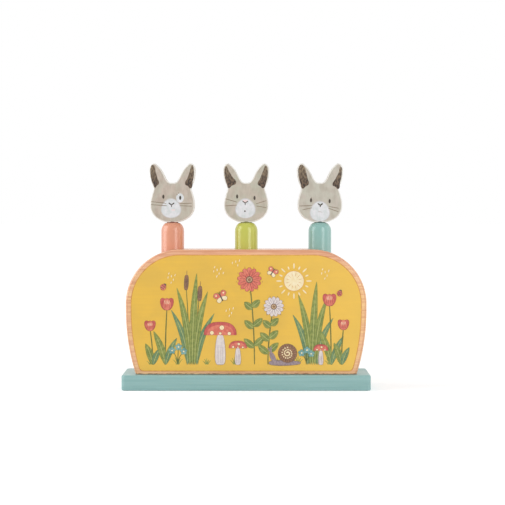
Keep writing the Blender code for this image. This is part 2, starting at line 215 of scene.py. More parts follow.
print("patterns ready: speckle and growth_lines")

# %% [markdown]
# ## Paint and print finishes
#
# Each paint is a pale and a dark version of one colour. The growth lines choose between the two, and a
# slow cloudy noise keeps large faces from looking flat. The paint's surface follows the streaks by
# a few hundredths of a millimetre, enough to break up a reflection.

# %% Painted wood
def painted_wood(name, dark, pale, roughness, height, cloud_share=0.25):
    """Thin paint over a plank."""
    material, start = new_finish(name)
    clouds = speckle(start, (30 * MM, 30 * MM, 14 * MM), detail=3.0, shift=5.0)
    lines = growth_lines(start)
    streaked = (lines * (1 - cloud_share) + clouds * cloud_share).mixed(colour(*dark), colour(*pale))
    return finished(material, streaked, roughness + 0.12 * (lines - 0.5), lines, height)


board_paint = painted_wood("teal paint on wood", (138, 180, 178), (152, 191, 190), 0.34, 0.02 * MM)
print("board paint made")

# %% [markdown]
# The block's coral paint stops at the mouths of the three bores, because a drill goes in after the
# painting. A mask by distance from the nearest bore's axis leaves bare birch inside them. Lower down
# the flanks more of the wood shows, most of all near the middle of their depth, and the right side is
# painted paler than the left, as painted light from the right. A dark brown line along the foot is
# painted shadow in the gap between block and board.

# %% The block's coral paint
peg_places = {}
for side in SIDES:
    low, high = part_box("peg_" + side)
    peg_places[side] = (low.x + high.x) / 2
peg_spacing = peg_places["right"] - peg_places["middle"]
block_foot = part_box("body_block")[0].z
block_half_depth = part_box("body_block")[1].y
block_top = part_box("body_block")[1].z
BORE_RADIUS = 11.6 * MM
BORE_MOUTH_CHAMFER = 0.6 * MM
RIM_FADE = 9 * MM


def bore_mask(start):
    """One inside the three bores and nought outside."""
    x = place_on(start, "X")
    y = place_on(start, "Y")
    turns = start.math("ROUND", x * (1 / peg_spacing))
    nearest = start.math("MINIMUM", start.math("MAXIMUM", turns, -1.0), 1.0)
    across = x - nearest * peg_spacing
    squared = across * across + y * y
    distance = start.math("SQRT", squared)
    return 1 - distance.between(BORE_RADIUS + 0.05 * MM, BORE_RADIUS + 0.15 * MM)


def off_middle(start):
    """How far in front of or behind the middle plane this point lies."""
    return start.math("ABSOLUTE", place_on(start, "Y"))


def arris_mask(start):
    """One along the rounded rims of the front and back, just where they leave the flat face."""
    depth = off_middle(start)
    inner = depth.between(block_half_depth - 1.1 * MM, block_half_depth - 0.5 * MM)
    outer = depth.between(block_half_depth - 0.2 * MM, block_half_depth - 0.02 * MM)
    return inner - outer


def foot_shadow_mask(start):
    """One along an uneven line just above the block's foot, where the shadow of the gap is painted."""
    uneven = speckle(start, (5 * MM, 5 * MM, 5 * MM), detail=3.0, shift=6.0).between(0.3, 0.7)
    edge = block_foot + 0.2 * MM + uneven * 0.9 * MM
    return (edge - place_on(start, "Z")).between(0.0, 0.25 * MM)


def block_finish():
    """Coral paint with clear growth lines, painted paler to the right as light from that side, a
    painted shadow along the foot, and bare wood in the bores.
    """
    material, start = new_finish("coral paint on wood")
    clouds = speckle(start, (16 * MM, 16 * MM, 9 * MM), detail=3.0, shift=5.0).between(0.35, 0.65)
    lines = growth_lines(start)
    top_streaks = lines.mixed(colour(214, 146, 108), colour(244, 190, 146))
    # Painted light: the streaks and the plain coral grow paler towards the right, standing in for
    # light from that side.
    left_streaks = lines.mixed(colour(216, 154, 110), colour(246, 204, 146))
    right_streaks = lines.mixed(colour(232, 172, 118), colour(250, 206, 142))
    painted_light_to_right = place_on(start, "X").between(0.0, 100 * MM)
    side_streaks = painted_light_to_right.mixed(left_streaks, right_streaks)
    below_top = (block_top - place_on(start, "Z")).between(3 * MM, 30 * MM)
    streaks = below_top.mixed(top_streaks, side_streaks)
    near_rims = off_middle(start).between(block_half_depth - RIM_FADE, block_half_depth - 1 * MM)
    plain = painted_light_to_right.mixed(colour(236, 176, 138), colour(242, 184, 136))
    softened = ((1 - near_rims) * 0.55).mixed(streaks, plain)
    cloudy = (clouds * 0.4).mixed(softened, colour(240, 184, 148))
    # Darker along the rims, just where they leave the flat face.
    rim_darkened = (arris_mask(start) * 0.55).mixed(cloudy, colour(206, 132, 98))
    # Painted shadow: a dark brown along the foot stands for the shade in the gap under the block.
    with_foot_shadow = (foot_shadow_mask(start) * 0.8).mixed(rim_darkened, colour(122, 78, 54))
    bare = growth_lines(start, 1.1 * MM).mixed(colour(198, 160, 116), colour(226, 196, 152))
    look = bore_mask(start).mixed(with_foot_shadow, bare)
    roughness = 0.32 + 0.1 * (lines - 0.5) + 0.3 * bore_mask(start)
    coat = {"Coat Weight": 0.5, "Coat Roughness": 0.15}
    return finished(material, look, roughness, lines, 0.03 * MM, coat)


block_paint = block_finish()
print("block paint made, pegs every", round(peg_spacing / MM, 1), "mm")

# %% [markdown]
# The yellow ground of the front is printed, so it is one flat coat. It is painted a little paler
# towards the right, as painted light from that side, and paler towards the foot, and the growth lines
# only
# just show in it. The small pictures on it are printed over that in inks that look like watercolour:
# blotchy, with a paler and a darker tone of one colour, and fine strokes.

# %% Print inks
def ground_print():
    """The yellow ground, with the wood's lines faint in it."""
    material, start = new_finish("yellow print")
    lines = growth_lines(start)
    clouds = speckle(start, (34 * MM, 30 * MM, 26 * MM), detail=3.0, shift=2.0).between(0.35, 0.65)
    ground = clouds.mixed(colour(229, 186, 77), colour(238, 192, 74))
    lined = (lines * 0.25).mixed(ground, colour(226, 180, 78))
    # Painted light: paler towards the right, as if lit from that side; it also grows paler towards the
    # foot.
    painted_light_to_right = place_on(start, "X").between(0.0, 105 * MM)
    to_foot = (block_foot + 50 * MM - place_on(start, "Z")).between(0.0, 45 * MM)
    paler = painted_light_to_right * 0.4 + to_foot * 0.33
    return finished(material, paler.mixed(lined, colour(248, 203, 92)), 0.42, lines, 0.02 * MM)


def watercolour(name, dark, pale, blotch=3.0 * MM, upright=True):
    """An ink in two tones, with blotches and with fine brush strokes along its shape."""
    material, start = new_finish(name)
    blotches = speckle(start, (blotch, blotch, blotch), detail=3.0, shift=1.0).between(0.3, 0.7)
    grain = (0.5 * MM, 1 * MM, 4 * MM) if upright else (4 * MM, 1 * MM, 0.5 * MM)
    strokes = speckle(start, grain, detail=2.0, shift=7.0).between(0.3, 0.7)
    tone = blotches * 0.6 + strokes * 0.4
    return finished(material, tone.mixed(colour(*dark), colour(*pale)), 0.5 + 0.1 * (tone - 0.5))


yellow_print = ground_print()
INKS = {
    "edge_line": watercolour("ochre line ink", (196, 124, 58), (232, 166, 78), upright=False),
    "moss": watercolour("dark moss ink", (84, 96, 46), (116, 126, 66)),
    "leaf": watercolour("leaf green ink", (112, 130, 62), (160, 166, 88)),
    "reed": watercolour("blue green ink", (84, 124, 94), (136, 158, 106)),
    "vein": watercolour("pale vein ink", (172, 180, 108), (196, 196, 126)),
    "coral": watercolour("coral ink", (206, 96, 84), (236, 142, 118)),
    "rose": watercolour("rose ink", (184, 74, 76), (214, 108, 96)),
    "wine": watercolour("wine red ink", (136, 56, 52), (172, 84, 68)),
    "cream": watercolour("cream ink", (244, 222, 170), (252, 238, 204)),
    "white": watercolour("lilac white ink", (216, 204, 206), (238, 228, 220)),
    "brown": watercolour("brown ink", (120, 84, 62), (166, 124, 92), blotch=1.5 * MM),
    "grey": watercolour("lilac grey ink", (128, 110, 122), (176, 158, 160), blotch=1.5 * MM),
    "blue": watercolour("light blue ink", (96, 150, 156), (146, 186, 182)),
    "dark": watercolour("dark ink", (62, 56, 58), (84, 76, 74)),
}
print("yellow ground and", len(INKS), "inks made")

# %% [markdown]
# ## Lacquer on the pegs
#
# The pegs are turned birch dowels under a thick, glossy lacquer. On a tall cylinder such a lacquer
# draws two soft upright highlights, one for each strong lamp. A very faint grain along Z keeps the
# colour alive, and a coat over the base gives the crisper reflection.

# %% Lacquer
def lacquer(name, dark, pale):
    """Glossy colour over a turned dowel."""
    material, start = new_finish(name)
    grain = speckle(start, (0.9 * MM, 0.9 * MM, 40 * MM), detail=2.0)
    clouds = speckle(start, (6 * MM, 6 * MM, 12 * MM), detail=2.0, shift=4.0)
    look = (grain * 0.5 + clouds * 0.5).mixed(colour(*dark), colour(*pale))
    roughness = 0.3 + 0.08 * (clouds - 0.5)
    coat = {"Coat Weight": 0.8, "Coat Roughness": 0.2}
    return finished(material, look, roughness, clouds, 0.03 * MM, coat)


LACQUERS = {
    "left": lacquer("coral lacquer", (218, 143, 110), (224, 151, 118)),
    "middle": lacquer("lime lacquer", (189, 192, 68), (195, 197, 78)),
    "right": lacquer("teal lacquer", (132, 178, 170), (140, 185, 178)),
}
print("lacquers made:", ", ".join(LACQUERS))

# %% [markdown]
# ## Plywood, birch and steel
#
# A head is cut from birch plywood. Its front and back carry a warm grey print that stops a millimetre
# short of the edge, so a pale rim of bare veneer shows round it. From the side you see the plies.
# The springs are drawn steel wire, and the screws and washers are zinc plated.

# %% Wood and metal finishes
PLY = 2.0 * MM
GLUE_LINE = 0.12 * MM


def plywood():
    """Pale veneer outside, and plies of alternating grain at the cut edge."""
    material, start = new_finish("birch plywood")
    depth = off_middle(start)
    grain = speckle(start, (0.6 * MM, 3 * MM, 9 * MM), detail=3.0)
    outer = grain.mixed(colour(226, 222, 214), colour(238, 235, 229))
    inner = grain.mixed(colour(204, 184, 150), colour(220, 202, 170))
    cross_ply = depth.between(0.5 * PLY, 0.55 * PLY) - depth.between(1.5 * PLY, 1.55 * PLY)
    plies = cross_ply.mixed(outer, inner)
    first_joint = start.math("ABSOLUTE", depth - 0.5 * PLY)
    second_joint = start.math("ABSOLUTE", depth - 1.5 * PLY)
    off_glue = start.math("MINIMUM", first_joint, second_joint).between(0.5 * GLUE_LINE, GLUE_LINE)
    return finished(material, off_glue.mixed(colour(172, 146, 112), plies), 0.5, grain, 0.03 * MM)


def head_print(name, cool, warm, shade):
    """The print of one head: blotches that lean to pink and to green, over fine fibres."""
    material, start = new_finish(name)
    blotches = speckle(start, (8 * MM, 8 * MM, 8 * MM), detail=3.0, shift=9.0).between(0.36, 0.64)
    shadows = speckle(start, (6 * MM, 6 * MM, 9 * MM), detail=4.0, shift=2.0).between(0.4, 0.7)
    fibres = speckle(start, (0.5 * MM, 1 * MM, 8 * MM), detail=3.0).between(0.35, 0.65)
    flat = blotches.mixed(colour(*cool), colour(*warm))
    darker = (shadows * 0.6 + fibres * 0.3).mixed(flat, colour(*shade))
    return finished(material, darker, 0.55, fibres, 0.02 * MM)


def birch():
    """Bare birch with its grain upright."""
    material, start = new_finish("bare birch")
    grain = speckle(start, (0.7 * MM, 0.7 * MM, 14 * MM), detail=3.0).between(0.25, 0.75)
    look = grain.mixed(colour(206, 172, 128), colour(226, 198, 156))
    return finished(material, look, 0.7, grain, 0.03 * MM)


def metal(name, dark, pale, roughness, grain):
    """Bare or plated steel with a fine crystal pattern."""
    material, start = new_finish(name)
    crystals = speckle(start, (grain, grain, grain), detail=3.0)
    look = crystals.mixed(colour(*dark), colour(*pale))
    return finished(material, look, roughness + 0.2 * (crystals - 0.5), others={"Metallic": 1.0})


PLYWOOD = plywood()
HEAD_PRINTS = {
    "left": head_print("warm grey print", (196, 191, 176), (204, 190, 177), (178, 163, 148)),
    "middle": head_print("olive grey print", (193, 191, 174), (202, 190, 176), (179, 170, 153)),
    "right": head_print("pale grey print", (199, 196, 182), (201, 192, 180), (180, 172, 157)),
}
BIRCH = birch()
SPRING_STEEL = metal("spring steel", (140, 142, 146), (168, 170, 172), 0.28, 0.4 * MM)
ZINC = metal("zinc plate", (176, 178, 180), (206, 206, 202), 0.32, 0.8 * MM)
print("plywood, print, birch and two metals made")

# %% [markdown]
# ## Modelling by hand, in code
#
# Every piece starts as one of Blender's primitives. We open it in edit mode, pick faces or edges by
# where they lie, and run the same operators that a person would: bevel, extrude, inset and spin.
# These helpers do the opening and picking. The last one tidies the piece, shades it and hands it to
# the CAD body that it moves with.

# %% Helpers for modelling
WELD = 0.001 * MM
SMOOTH_ANGLE = 35


def only(piece):
    """Make this the one selected object."""
    bpy.ops.object.select_all(action="DESELECT")
    bpy.context.view_layer.objects.active = piece
    piece.select_set(True)


def named(name):
    """Name the primitive that was just added, and put its place and size into its mesh."""
    piece = bpy.context.object
    piece.name = name
    piece.data.name = name
    only(piece)
    bpy.ops.object.transform_apply(location=True, rotation=True, scale=True)
    return piece


def edit(piece, mode="FACE"):
    """Open a piece in edit mode with nothing selected."""
    only(piece)
    bpy.ops.object.mode_set(mode="EDIT")
    bpy.ops.mesh.select_mode(type=mode)
    bpy.ops.mesh.select_all(action="DESELECT")


def select_everything():
    """Select all of the open mesh."""
    bpy.ops.mesh.select_all(action="SELECT")


def extrude(step):
    """Draw the selection out by a step along X, Y and Z."""
    bpy.ops.mesh.extrude_region_move(TRANSFORM_OT_translate={"value": step})


def round_off(width, steps):
    """Bevel the selected edges."""
    bpy.ops.mesh.bevel(offset=width, segments=steps, clamp_overlap=False)


def pick(kind, test):
    """Select those verts, edges or faces of the open mesh that pass a test."""
    mesh = bmesh.from_edit_mesh(bpy.context.object.data)
    for element in getattr(mesh, kind):
        element.select_set(test(element))
    bmesh.update_edit_mesh(bpy.context.object.data)


def close_edit():
    """Back to object mode."""
    bpy.ops.object.mode_set(mode="OBJECT")


def same(first, second):
    """Whether two places agree to a thousandth of a millimetre."""
    return abs(first - second) < WELD


def on_rim(edge):
    """Whether an edge lies between the front or back and the sides."""
    return len({round(face.normal.y) for face in edge.link_faces}) == 2


def crossing_at(height):
    """A test for the edges that run from front to back at one height."""
    return lambda edge: all(same(v.co.z, height) for v in edge.verts) and not same(
        edge.verts[0].co.y, edge.verts[1].co.y
    )


def brick(name, middle, size):
    """A cuboid about its middle."""
    bpy.ops.mesh.primitive_cube_add(size=1, location=middle, scale=size)
    return named(name)


def cut(piece, cutter):
    """Take the cutter's shape out of the piece, and throw the cutter away."""
    only(piece)
    boolean = piece.modifiers.new("cut", "BOOLEAN")
    boolean.operation = "DIFFERENCE"
    boolean.solver = "EXACT"
    boolean.object = cutter
    bpy.ops.object.modifier_apply(modifier=boolean.name)
    bpy.data.objects.remove(cutter, do_unlink=True)


def outward(piece):
    """Merge doubles, then turn every face outwards."""
    edit(piece)
    select_everything()
    bpy.ops.mesh.remove_doubles(threshold=WELD)
    bpy.ops.mesh.normals_make_consistent(inside=False)
    close_edit()


def fit(piece, body, finish, stands_for=(), angle=SMOOTH_ANGLE):
    """Shade the piece, give it its finish, and let it ride on its CAD body."""
    outward(piece)
    only(piece)
    bpy.ops.object.shade_smooth_by_angle(angle=math.radians(angle))
    piece.data.materials.clear()
    piece.data.materials.append(finish)
    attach(piece, body)
    if stands_for:
        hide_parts(*stands_for)
    print(f"{piece.name}: {len(piece.data.polygons)} faces, rides on {body}")
    return piece


def turn(name, profile, x, steps=96):
    """Spin a line of (radius, height) points once round an upright axis at x."""
    bpy.ops.mesh.primitive_plane_add(size=MM)
    piece = named(name)
    edit(piece, "VERT")
    select_everything()
    bpy.ops.mesh.merge(type="CENTER")
    radius, height = profile[0]
    bpy.ops.transform.translate(value=(x + radius, 0, height))
    for next_radius, next_height in profile[1:]:
        step = (next_radius - radius, 0, next_height - height)
        extrude(step)
        radius, height = next_radius, next_height
    select_everything()
    bpy.ops.mesh.spin(steps=steps, angle=math.tau, center=(x, 0, 0), axis=(0, 0, 1))
    close_edit()
    outward(piece)
    return piece


def eased_disc(radius, low, high, ease, hole=0):
    """The profile of a cylinder or, with a hole, of a ring, whose outer edges are chamfered."""
    profile = [
        (hole, high), (radius - ease, high), (radius, high - ease),
        (radius, low + ease), (radius - ease, low), (hole, low),
    ]
    return profile + [profile[0]] if hole else profile


print("modelling helpers ready")

# %% [markdown]
# ## The board
#
# A flat plank with round corners and softened edges. A cube gives the block of wood, one bevel rounds
# the upright corners and a second eases the rims. Four countersunk holes from below take the screws
# that hold the block.

# %% Base board
BOARD_CORNER = 4.0 * MM
BOARD_EASE = 1.6 * MM
SCREW_RADIUS = 1.9 * MM
SCREW_HEAD_RADIUS = 3.9 * MM
SCREW_HEAD_HEIGHT = 2.5 * MM
SCREW_CLEARANCE = 0.3 * MM
OVERRUN = 2 * MM

board_low, board_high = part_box("base_board")
SCREW_NODES = ("base_screw_1", "base_screw_2", "base_screw_3", "base_screw_4")
screw_places = {node: (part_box(node)[0].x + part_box(node)[1].x) / 2 for node in SCREW_NODES}
screw_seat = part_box("base_screw_1")[0].z


def board_hole(x):
    """The cutter for one screw: a clearance hole and its countersink."""
    hole = SCREW_RADIUS + SCREW_CLEARANCE
    mouth = SCREW_HEAD_RADIUS + SCREW_CLEARANCE
    profile = [
        (0, board_high.z + OVERRUN),
        (hole, board_high.z + OVERRUN),
        (hole, screw_seat + SCREW_HEAD_HEIGHT),
        (mouth, screw_seat),
        (mouth, -OVERRUN),
        (0, -OVERRUN),
    ]
    return turn("board hole", profile, x, steps=48)


board = brick("board", (board_low + board_high) / 2, board_high - board_low)
edit(board, "EDGE")
pick("edges", lambda e: not same(e.verts[0].co.z, e.verts[1].co.z))
round_off(BOARD_CORNER, steps=10)
pick("edges", lambda e: same(e.verts[0].co.z, e.verts[1].co.z))
round_off(BOARD_EASE, steps=5)
close_edit()
for place in screw_places.values():
    cut(board, board_hole(place))
fit(board, "housing", board_paint, ["base_board"])

# %% [markdown]
# ## The block
#
# The block's outline is a loaf: two large round corners on top, a short straight side, and flanks that
# draw in towards the foot along a long arc. The same outline, drawn a few millimetres smaller, is
# the edge of the yellow print. So one function makes both, and the distance between them is a
# single number.

# %% The loaf shape
CORNER_RADIUS = 52.5 * MM
STRAIGHT_SIDE = 6.8 * MM
FLANK_RADIUS = 203 * MM
FLANK_STEPS = 14

block_low, block_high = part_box("body_block")
waist = block_high.z - CORNER_RADIUS - STRAIGHT_SIDE


def half_width(height, inset):
    """Half the loaf's width at a height on its flank."""
    drop = waist - height
    centre = block_high.x - FLANK_RADIUS
    return centre + math.sqrt((FLANK_RADIUS - inset) ** 2 - drop ** 2)


def loaf(name, inset, foot, front, back):
    """A plate or block with the loaf's outline, drawn smaller all round by the inset."""
    side = block_high.x - inset
    top = block_high.z - inset
    middle = Vector((0, (front + back) / 2, (foot + top) / 2))
    piece = brick(name, middle, (2 * side, back - front, top - foot))
    edit(piece, "EDGE")
    pick("edges", crossing_at(top))
    round_off(CORNER_RADIUS - inset, steps=48)
    heights = [foot + (waist - foot) * step / FLANK_STEPS for step in range(FLANK_STEPS + 1)]
    for height in heights[1:]:
        select_everything()
        bpy.ops.mesh.bisect(plane_co=(0, 0, height), plane_no=(0, 0, 1))
    for height in heights:
        pick("verts", lambda v: same(v.co.z, height))
        share = half_width(height, inset) / side
        bpy.ops.transform.resize(value=(share, 1, 1), center_override=(0, 0, height))
    close_edit()
    outward(piece)
    return piece


print("loaf shape ready, waist at", round(waist / MM, 1), "mm")

# %% [markdown]
# Now the block itself. It is made a little too tall, its front and back rims get a rounded edge all
# round, and then the foot is sawn off square with a bisect. That way the rounding runs over the top
# and down the flanks, and the edge that stands on the board stays sharp. Three bores with eased
# mouths go down from the top. The floor of each bore and the underside of the block have thin holes
# for their screws.

# %% Block
BLOCK_EASE = 2.8 * MM
SPRING_WIRE = 1.0 * MM
SEAT_GAP = 0.3 * MM
PILOT_RADIUS = 1.8 * MM

spring_low, spring_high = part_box("spring_middle")
bore_floor = spring_low.z - SEAT_GAP
pilot_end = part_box("spring_screw_middle")[0].z - SEAT_GAP
base_screw_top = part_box("base_screw_1")[1].z


def bore(x):
    """The cutter for a peg's bore, its eased mouth and the pilot hole in its floor."""
    mouth = BORE_RADIUS + BORE_MOUTH_CHAMFER + OVERRUN
    profile = [
        (0, block_high.z + OVERRUN),
        (mouth, block_high.z + OVERRUN),
        (BORE_RADIUS, block_high.z - BORE_MOUTH_CHAMFER),
        (BORE_RADIUS, bore_floor),
        (PILOT_RADIUS, bore_floor),
        (PILOT_RADIUS, pilot_end),
        (0, pilot_end - PILOT_RADIUS),
    ]
    return turn("bore", profile, x, steps=128)


def block_pilot(x):
    """The cutter for the hole that takes a board screw."""
    hole = SCREW_RADIUS + SCREW_CLEARANCE
    profile = [(0, base_screw_top + hole), (hole, base_screw_top), (hole, 0), (0, 0)]
    return turn("pilot", profile, x, steps=32)


block = loaf("block", 0, block_low.z - BLOCK_EASE, block_low.y, block_high.y)
edit(block, "EDGE")
pick("edges", on_rim)
round_off(BLOCK_EASE, steps=7)
select_everything()
bpy.ops.mesh.bisect(plane_co=(0, 0, block_low.z), plane_no=(0, 0, 1), use_fill=True, clear_inner=True)
close_edit()
for place in peg_places.values():
    cut(block, bore(place))
for place in screw_places.values():
    cut(block, block_pilot(place))
fit(block, "housing", block_paint, ["body_block"])

# %% [markdown]
# ## The yellow ground
#
# Ink has almost no thickness, yet in a render two faces in one place flicker. So each print is a thin
# plate that stands a few hundredths of a millimetre proud and is sunk a little into the wood. An
# ochre plate, 0.7 mm larger on every side, shows round the yellow one as the thin line at its edge.

# %% Yellow print on the front and the back
PRINT_INSET = 5.7 * MM
PRINT_FOOT = 3.4 * MM
PRINT_CORNER = 3.0 * MM
EDGE_LINE = 0.7 * MM
SUNK = 0.1 * MM
PROUD = 0.05 * MM
INK_STEP = 0.03 * MM


def print_plate(name, inset, foot_margin, face, proud, finish):
    """A loaf-shaped coat of ink on the front or the back of the block."""
    outward_y = math.copysign(1, face)
    ends = sorted((face - SUNK * outward_y, face + proud * outward_y))
    foot = block_low.z + foot_margin
    plate = loaf(name, inset, foot, ends[0], ends[1])
    edit(plate, "EDGE")
    pick("edges", crossing_at(foot))
    round_off(PRINT_CORNER, steps=6)
    close_edit()
    return fit(plate, "housing", finish)


for face_name, face_y in (("front", block_low.y), ("back", block_high.y)):
    print_plate(
        "print_line_" + face_name, PRINT_INSET - EDGE_LINE, PRINT_FOOT - EDGE_LINE, face_y,
        PROUD - INK_STEP, INKS["edge_line"],
    )
    print_plate("print_ground_" + face_name, PRINT_INSET, PRINT_FOOT, face_y, PROUD, yellow_print)

# %% [markdown]
# ## Ink marks
#
# The pictures are built from one kind of mark: a disc that is drawn out into a leaf, a petal, a
# blade or a dot. `point` sharpens its ends, `swell` moves its widest place towards the tip, `bend`
# curves it, and `turn` leans it. A mark stands on its foot, which makes it easy to plant a leaf on
# its stem. As on paper, what is printed later lies on top: each mark stands half a thousandth of a
# millimetre further out than the one before. All marks of one ink become one thin piece at the end.

# %% Helper for ink marks
MARK_CORNERS = 36
INK_DEPTH = 0.3 * MM
COUNTED_STEP = 0.0005 * MM


def place_from(x, z, turn, side, up):
    """The place so far to the side and so far up from (x, z), on a sheet that is turned clockwise."""
    along, aside = math.cos(math.radians(turn)), math.sin(math.radians(turn))
    return x + side * along + up * aside, z - side * aside + up * along


def spokes(count, x, z, reach, first=0):
    """The turn and the place of each of some points, spread evenly round (x, z) at this reach."""
    for number in range(count):
        turn = first + 360 * number / count
        yield turn, *place_from(x, z, turn, 0, reach)


def mark(sheet, x, z, width, length, turn=0, point=1.0, swell=0.0, bend=0.0, cut_foot=False):
    """Add one mark to a sheet of ink, standing on (x, z), its sizes in millimetres."""
    ground_x, ground_y, ground_z = sheet["origin"]
    bpy.ops.mesh.primitive_circle_add(vertices=MARK_CORNERS, radius=1, fill_type="NGON")
    shape = bpy.context.object
    front = ground_y - PROUD - INK_STEP - next(sheet["order"]) * COUNTED_STEP
    for corner in shape.data.vertices:
        across, along = corner.co.x, corner.co.y
        if cut_foot:
            along = max(along, -0.12)
        share = (along + 1) / 2
        half = width / 2 * math.copysign(abs(across) ** point, across) * (1 + swell * along)
        side = half + bend * length * share ** 2
        at_x, at_z = place_from(x, z, turn, side, length * share)
        corner.co = (ground_x + at_x * MM, front, ground_z + at_z * MM)
    sheet["marks"].append(shape)


def dot(sheet, x, z, width, height=None, **shape):
    """A round or oval mark about its middle."""
    height = height or width
    mark(sheet, x, z - height / 2, width, height, **shape)


def line(sheet, x, z, end_x, end_z, width, bend=0.0):
    """A thin stroke from one point to another."""
    turn = math.degrees(math.atan2(end_x - x, end_z - z))
    mark(sheet, x, z, width, math.hypot(end_x - x, end_z - z), turn, point=0.35, bend=bend)


def new_sheets(inks, origin):
    """An empty sheet for each ink on one face of wood. The sheets share one count of marks."""
    order = itertools.count()
    return {ink: {"origin": origin, "marks": [], "order": order} for ink in inks}


def finish_sheets(name, sheets, body, finishes):
    """Join the marks of each ink and give them their small thickness."""
    for ink, sheet in sheets.items():
        if not sheet["marks"]:
            continue
        bpy.ops.object.select_all(action="DESELECT")
        for shape in sheet["marks"]:
            shape.select_set(True)
        bpy.context.view_layer.objects.active = sheet["marks"][0]
        bpy.ops.object.join()
        piece = named(name.replace("INK", ink))
        edit(piece)
        select_everything()
        extrude((0, INK_DEPTH, 0))
        close_edit()
        fit(piece, body, finishes[ink])


print("ink marks ready")

# %% [markdown]
# ## The garden print
#
# The picture on the front is a garden of common things: tulips at both ends, reeds with brown heads,
# toadstools, daisies and a snail, under a pale sun, with ladybirds and butterflies about. Each is a
# short function, so it can be planted again at another place and size. A shape is first laid down a
# little larger in a dark ink, which leaves a fine outline, then in its own colour, and hatched with
# thin strokes as with a pen. Heights count from the foot of the block, and x counts from its middle,
# in millimetres.

# %% Leaves
OUTLINE = 0.55
PEN_WIDTH = 0.32
garden = new_sheets(INKS, (0, block_low.y, block_low.z))


def drawn(ink, x, z, width, length, turn=0, **shape):
    """A mark in one of the garden's inks."""
    mark(garden[ink], x, z, width, length, turn, **shape)


def pen(ink, x, z, length, turn=0, bend=0.0):
    """A thin stroke of the pen."""
    drawn(ink, x, z, PEN_WIDTH, length, turn, point=0.5, bend=bend)


def inked(ink, edge, x, z, width, length, turn=0, **shape):
    """A mark in one ink with a thin outline in another."""
    foot_x, foot_z = place_from(x, z, turn, 0, -OUTLINE / 2)
    drawn(edge, foot_x, foot_z, width + OUTLINE, length + OUTLINE, turn, **shape)
    drawn(ink, x, z, width, length, turn, **shape)


def leaf(x, z, width, length, turn=0, bend=0.0, ink="leaf", ribs=4):
    """A pointed leaf with a pale midrib and dark side ribs."""
    inked(ink, "moss", x, z, width, length, turn, point=1.5, swell=-0.15, bend=bend)
    for rib in range(ribs):
        share = 0.16 + 0.6 * rib / ribs
        rib_x, rib_z = place_from(x, z, turn, bend * length * share ** 2, length * share)
        along = turn + math.degrees(math.atan(2 * bend * share))
        for lean in (-36, 36):
            pen("moss", rib_x, rib_z, 0.55 * width, along + lean)
    drawn("vein", x, z, 0.5, 0.85 * length, turn, point=0.5, bend=0.85 * bend)


def reeds(x, z, height, heads=True):
    """Long blades that lean outwards, and two brown heads on stiff stems."""
    for offset, share in ((-6.0, 0.9), (7.0, 0.78)) if heads else ():
        top_x, top_z = x + offset, z + share * height
        line(garden["moss"], x + 0.2 * offset, z, top_x, top_z, 0.9)
        inked("brown", "dark", top_x, top_z - 7, 4.0, 14, turn=3, point=0.45)
        drawn("brown", top_x + 0.7, top_z + 6, 0.6, 6, turn=3)
        for side in (-0.9, 0.3, 1.2):
            pen("dark", top_x + side, top_z - 5, 9, turn=3)
    width = 6.4
    blades = ((-9, 0.6, -0.3), (9, 0.56, 0.34), (-4.5, 0.84, -0.17), (4.5, 0.8, 0.18), (0, 1.0, 0.05))
    for number, (offset, share, bend) in enumerate(blades):
        foot, length = x + 0.5 * offset, share * height
        leaf(foot, z, width, length, bend=bend, ink="reed" if number < 2 else "leaf", ribs=0)
        for side, part in ((-0.18, 0.6), (0.2, 0.72)):
            pen("moss", foot + side * width, z, part * length, bend=part * bend)


print("leaves and reeds ready")

# %% Flowers
def tulip(x, z, height, lean=0.0, bloom=10.0):
    """A tulip on a bent stem, with two long leaves."""
    drawn("moss", x, z, 1.1, height, point=0.35, bend=lean)
    leaf(x, z, 6.4, 0.62 * height, turn=-10, bend=-0.16, ribs=5)
    leaf(x + 0.5, z, 5.4, 0.5 * height, turn=11, bend=0.2, ink="reed")
    top = x + lean * height
    foot = z + height - 1
    for turn in (-24, 24):
        inked("rose", "wine", top, foot, 0.58 * bloom, bloom, turn, point=0.9, swell=-0.1)
    inked("coral", "wine", top, foot - 0.4, 0.7 * bloom, 0.95 * bloom, point=1.1, swell=-0.2)
    for side in (-0.2, -0.07, 0.07, 0.2):
        pen("wine", top + side * bloom, foot + 1, 0.4 * bloom, turn=40 * side)
        glint_x, glint_z = top + 0.7 * side * bloom, foot + 0.45 * bloom
        drawn("cream", glint_x, glint_z, 0.4, 0.3 * bloom, turn=60 * side, point=0.5)


def daisy(x, z, height, lean=0.0, bloom=8.0, ink="white", edge="grey", petals=13):
    """A daisy with a dotted brown heart, and pairs of leaves up its stem."""
    drawn("moss", x, z, 1.1, height, point=0.35, bend=lean)
    pairs = 4
    for pair in range(1, pairs):
        share = pair / (pairs + 0.4)
        at_x = x + lean * height * share ** 2
        at_z = z + height * share
        for side, drop in ((-1, 2), (1, 0)):
            leaf(at_x, at_z - drop, 6.0, 14 - 1.5 * pair, turn=58 * side, bend=-0.14 * side)
    top_x = x + lean * height
    top_z = z + height
    for turn, vein_x, vein_z in spokes(petals, top_x, top_z, 0.35 * bloom):
        inked(ink, edge, top_x, top_z, 0.34 * bloom, bloom, turn, point=0.8, swell=0.35)
        pen(edge, vein_x, vein_z, 0.45 * bloom, turn)
    inked("brown", "dark", top_x, top_z - 0.28 * bloom, 0.56 * bloom, 0.56 * bloom)
    seeds = 9
    for turn, seed_x, seed_z in spokes(seeds, top_x, top_z, 0.17 * bloom):
        dot(garden["cream"], seed_x, seed_z, 0.7)
        far_x, far_z = place_from(top_x, top_z, turn + 180 / seeds, 0, 1.1 * bloom)
        dot(garden["brown"], far_x, far_z, 0.7)


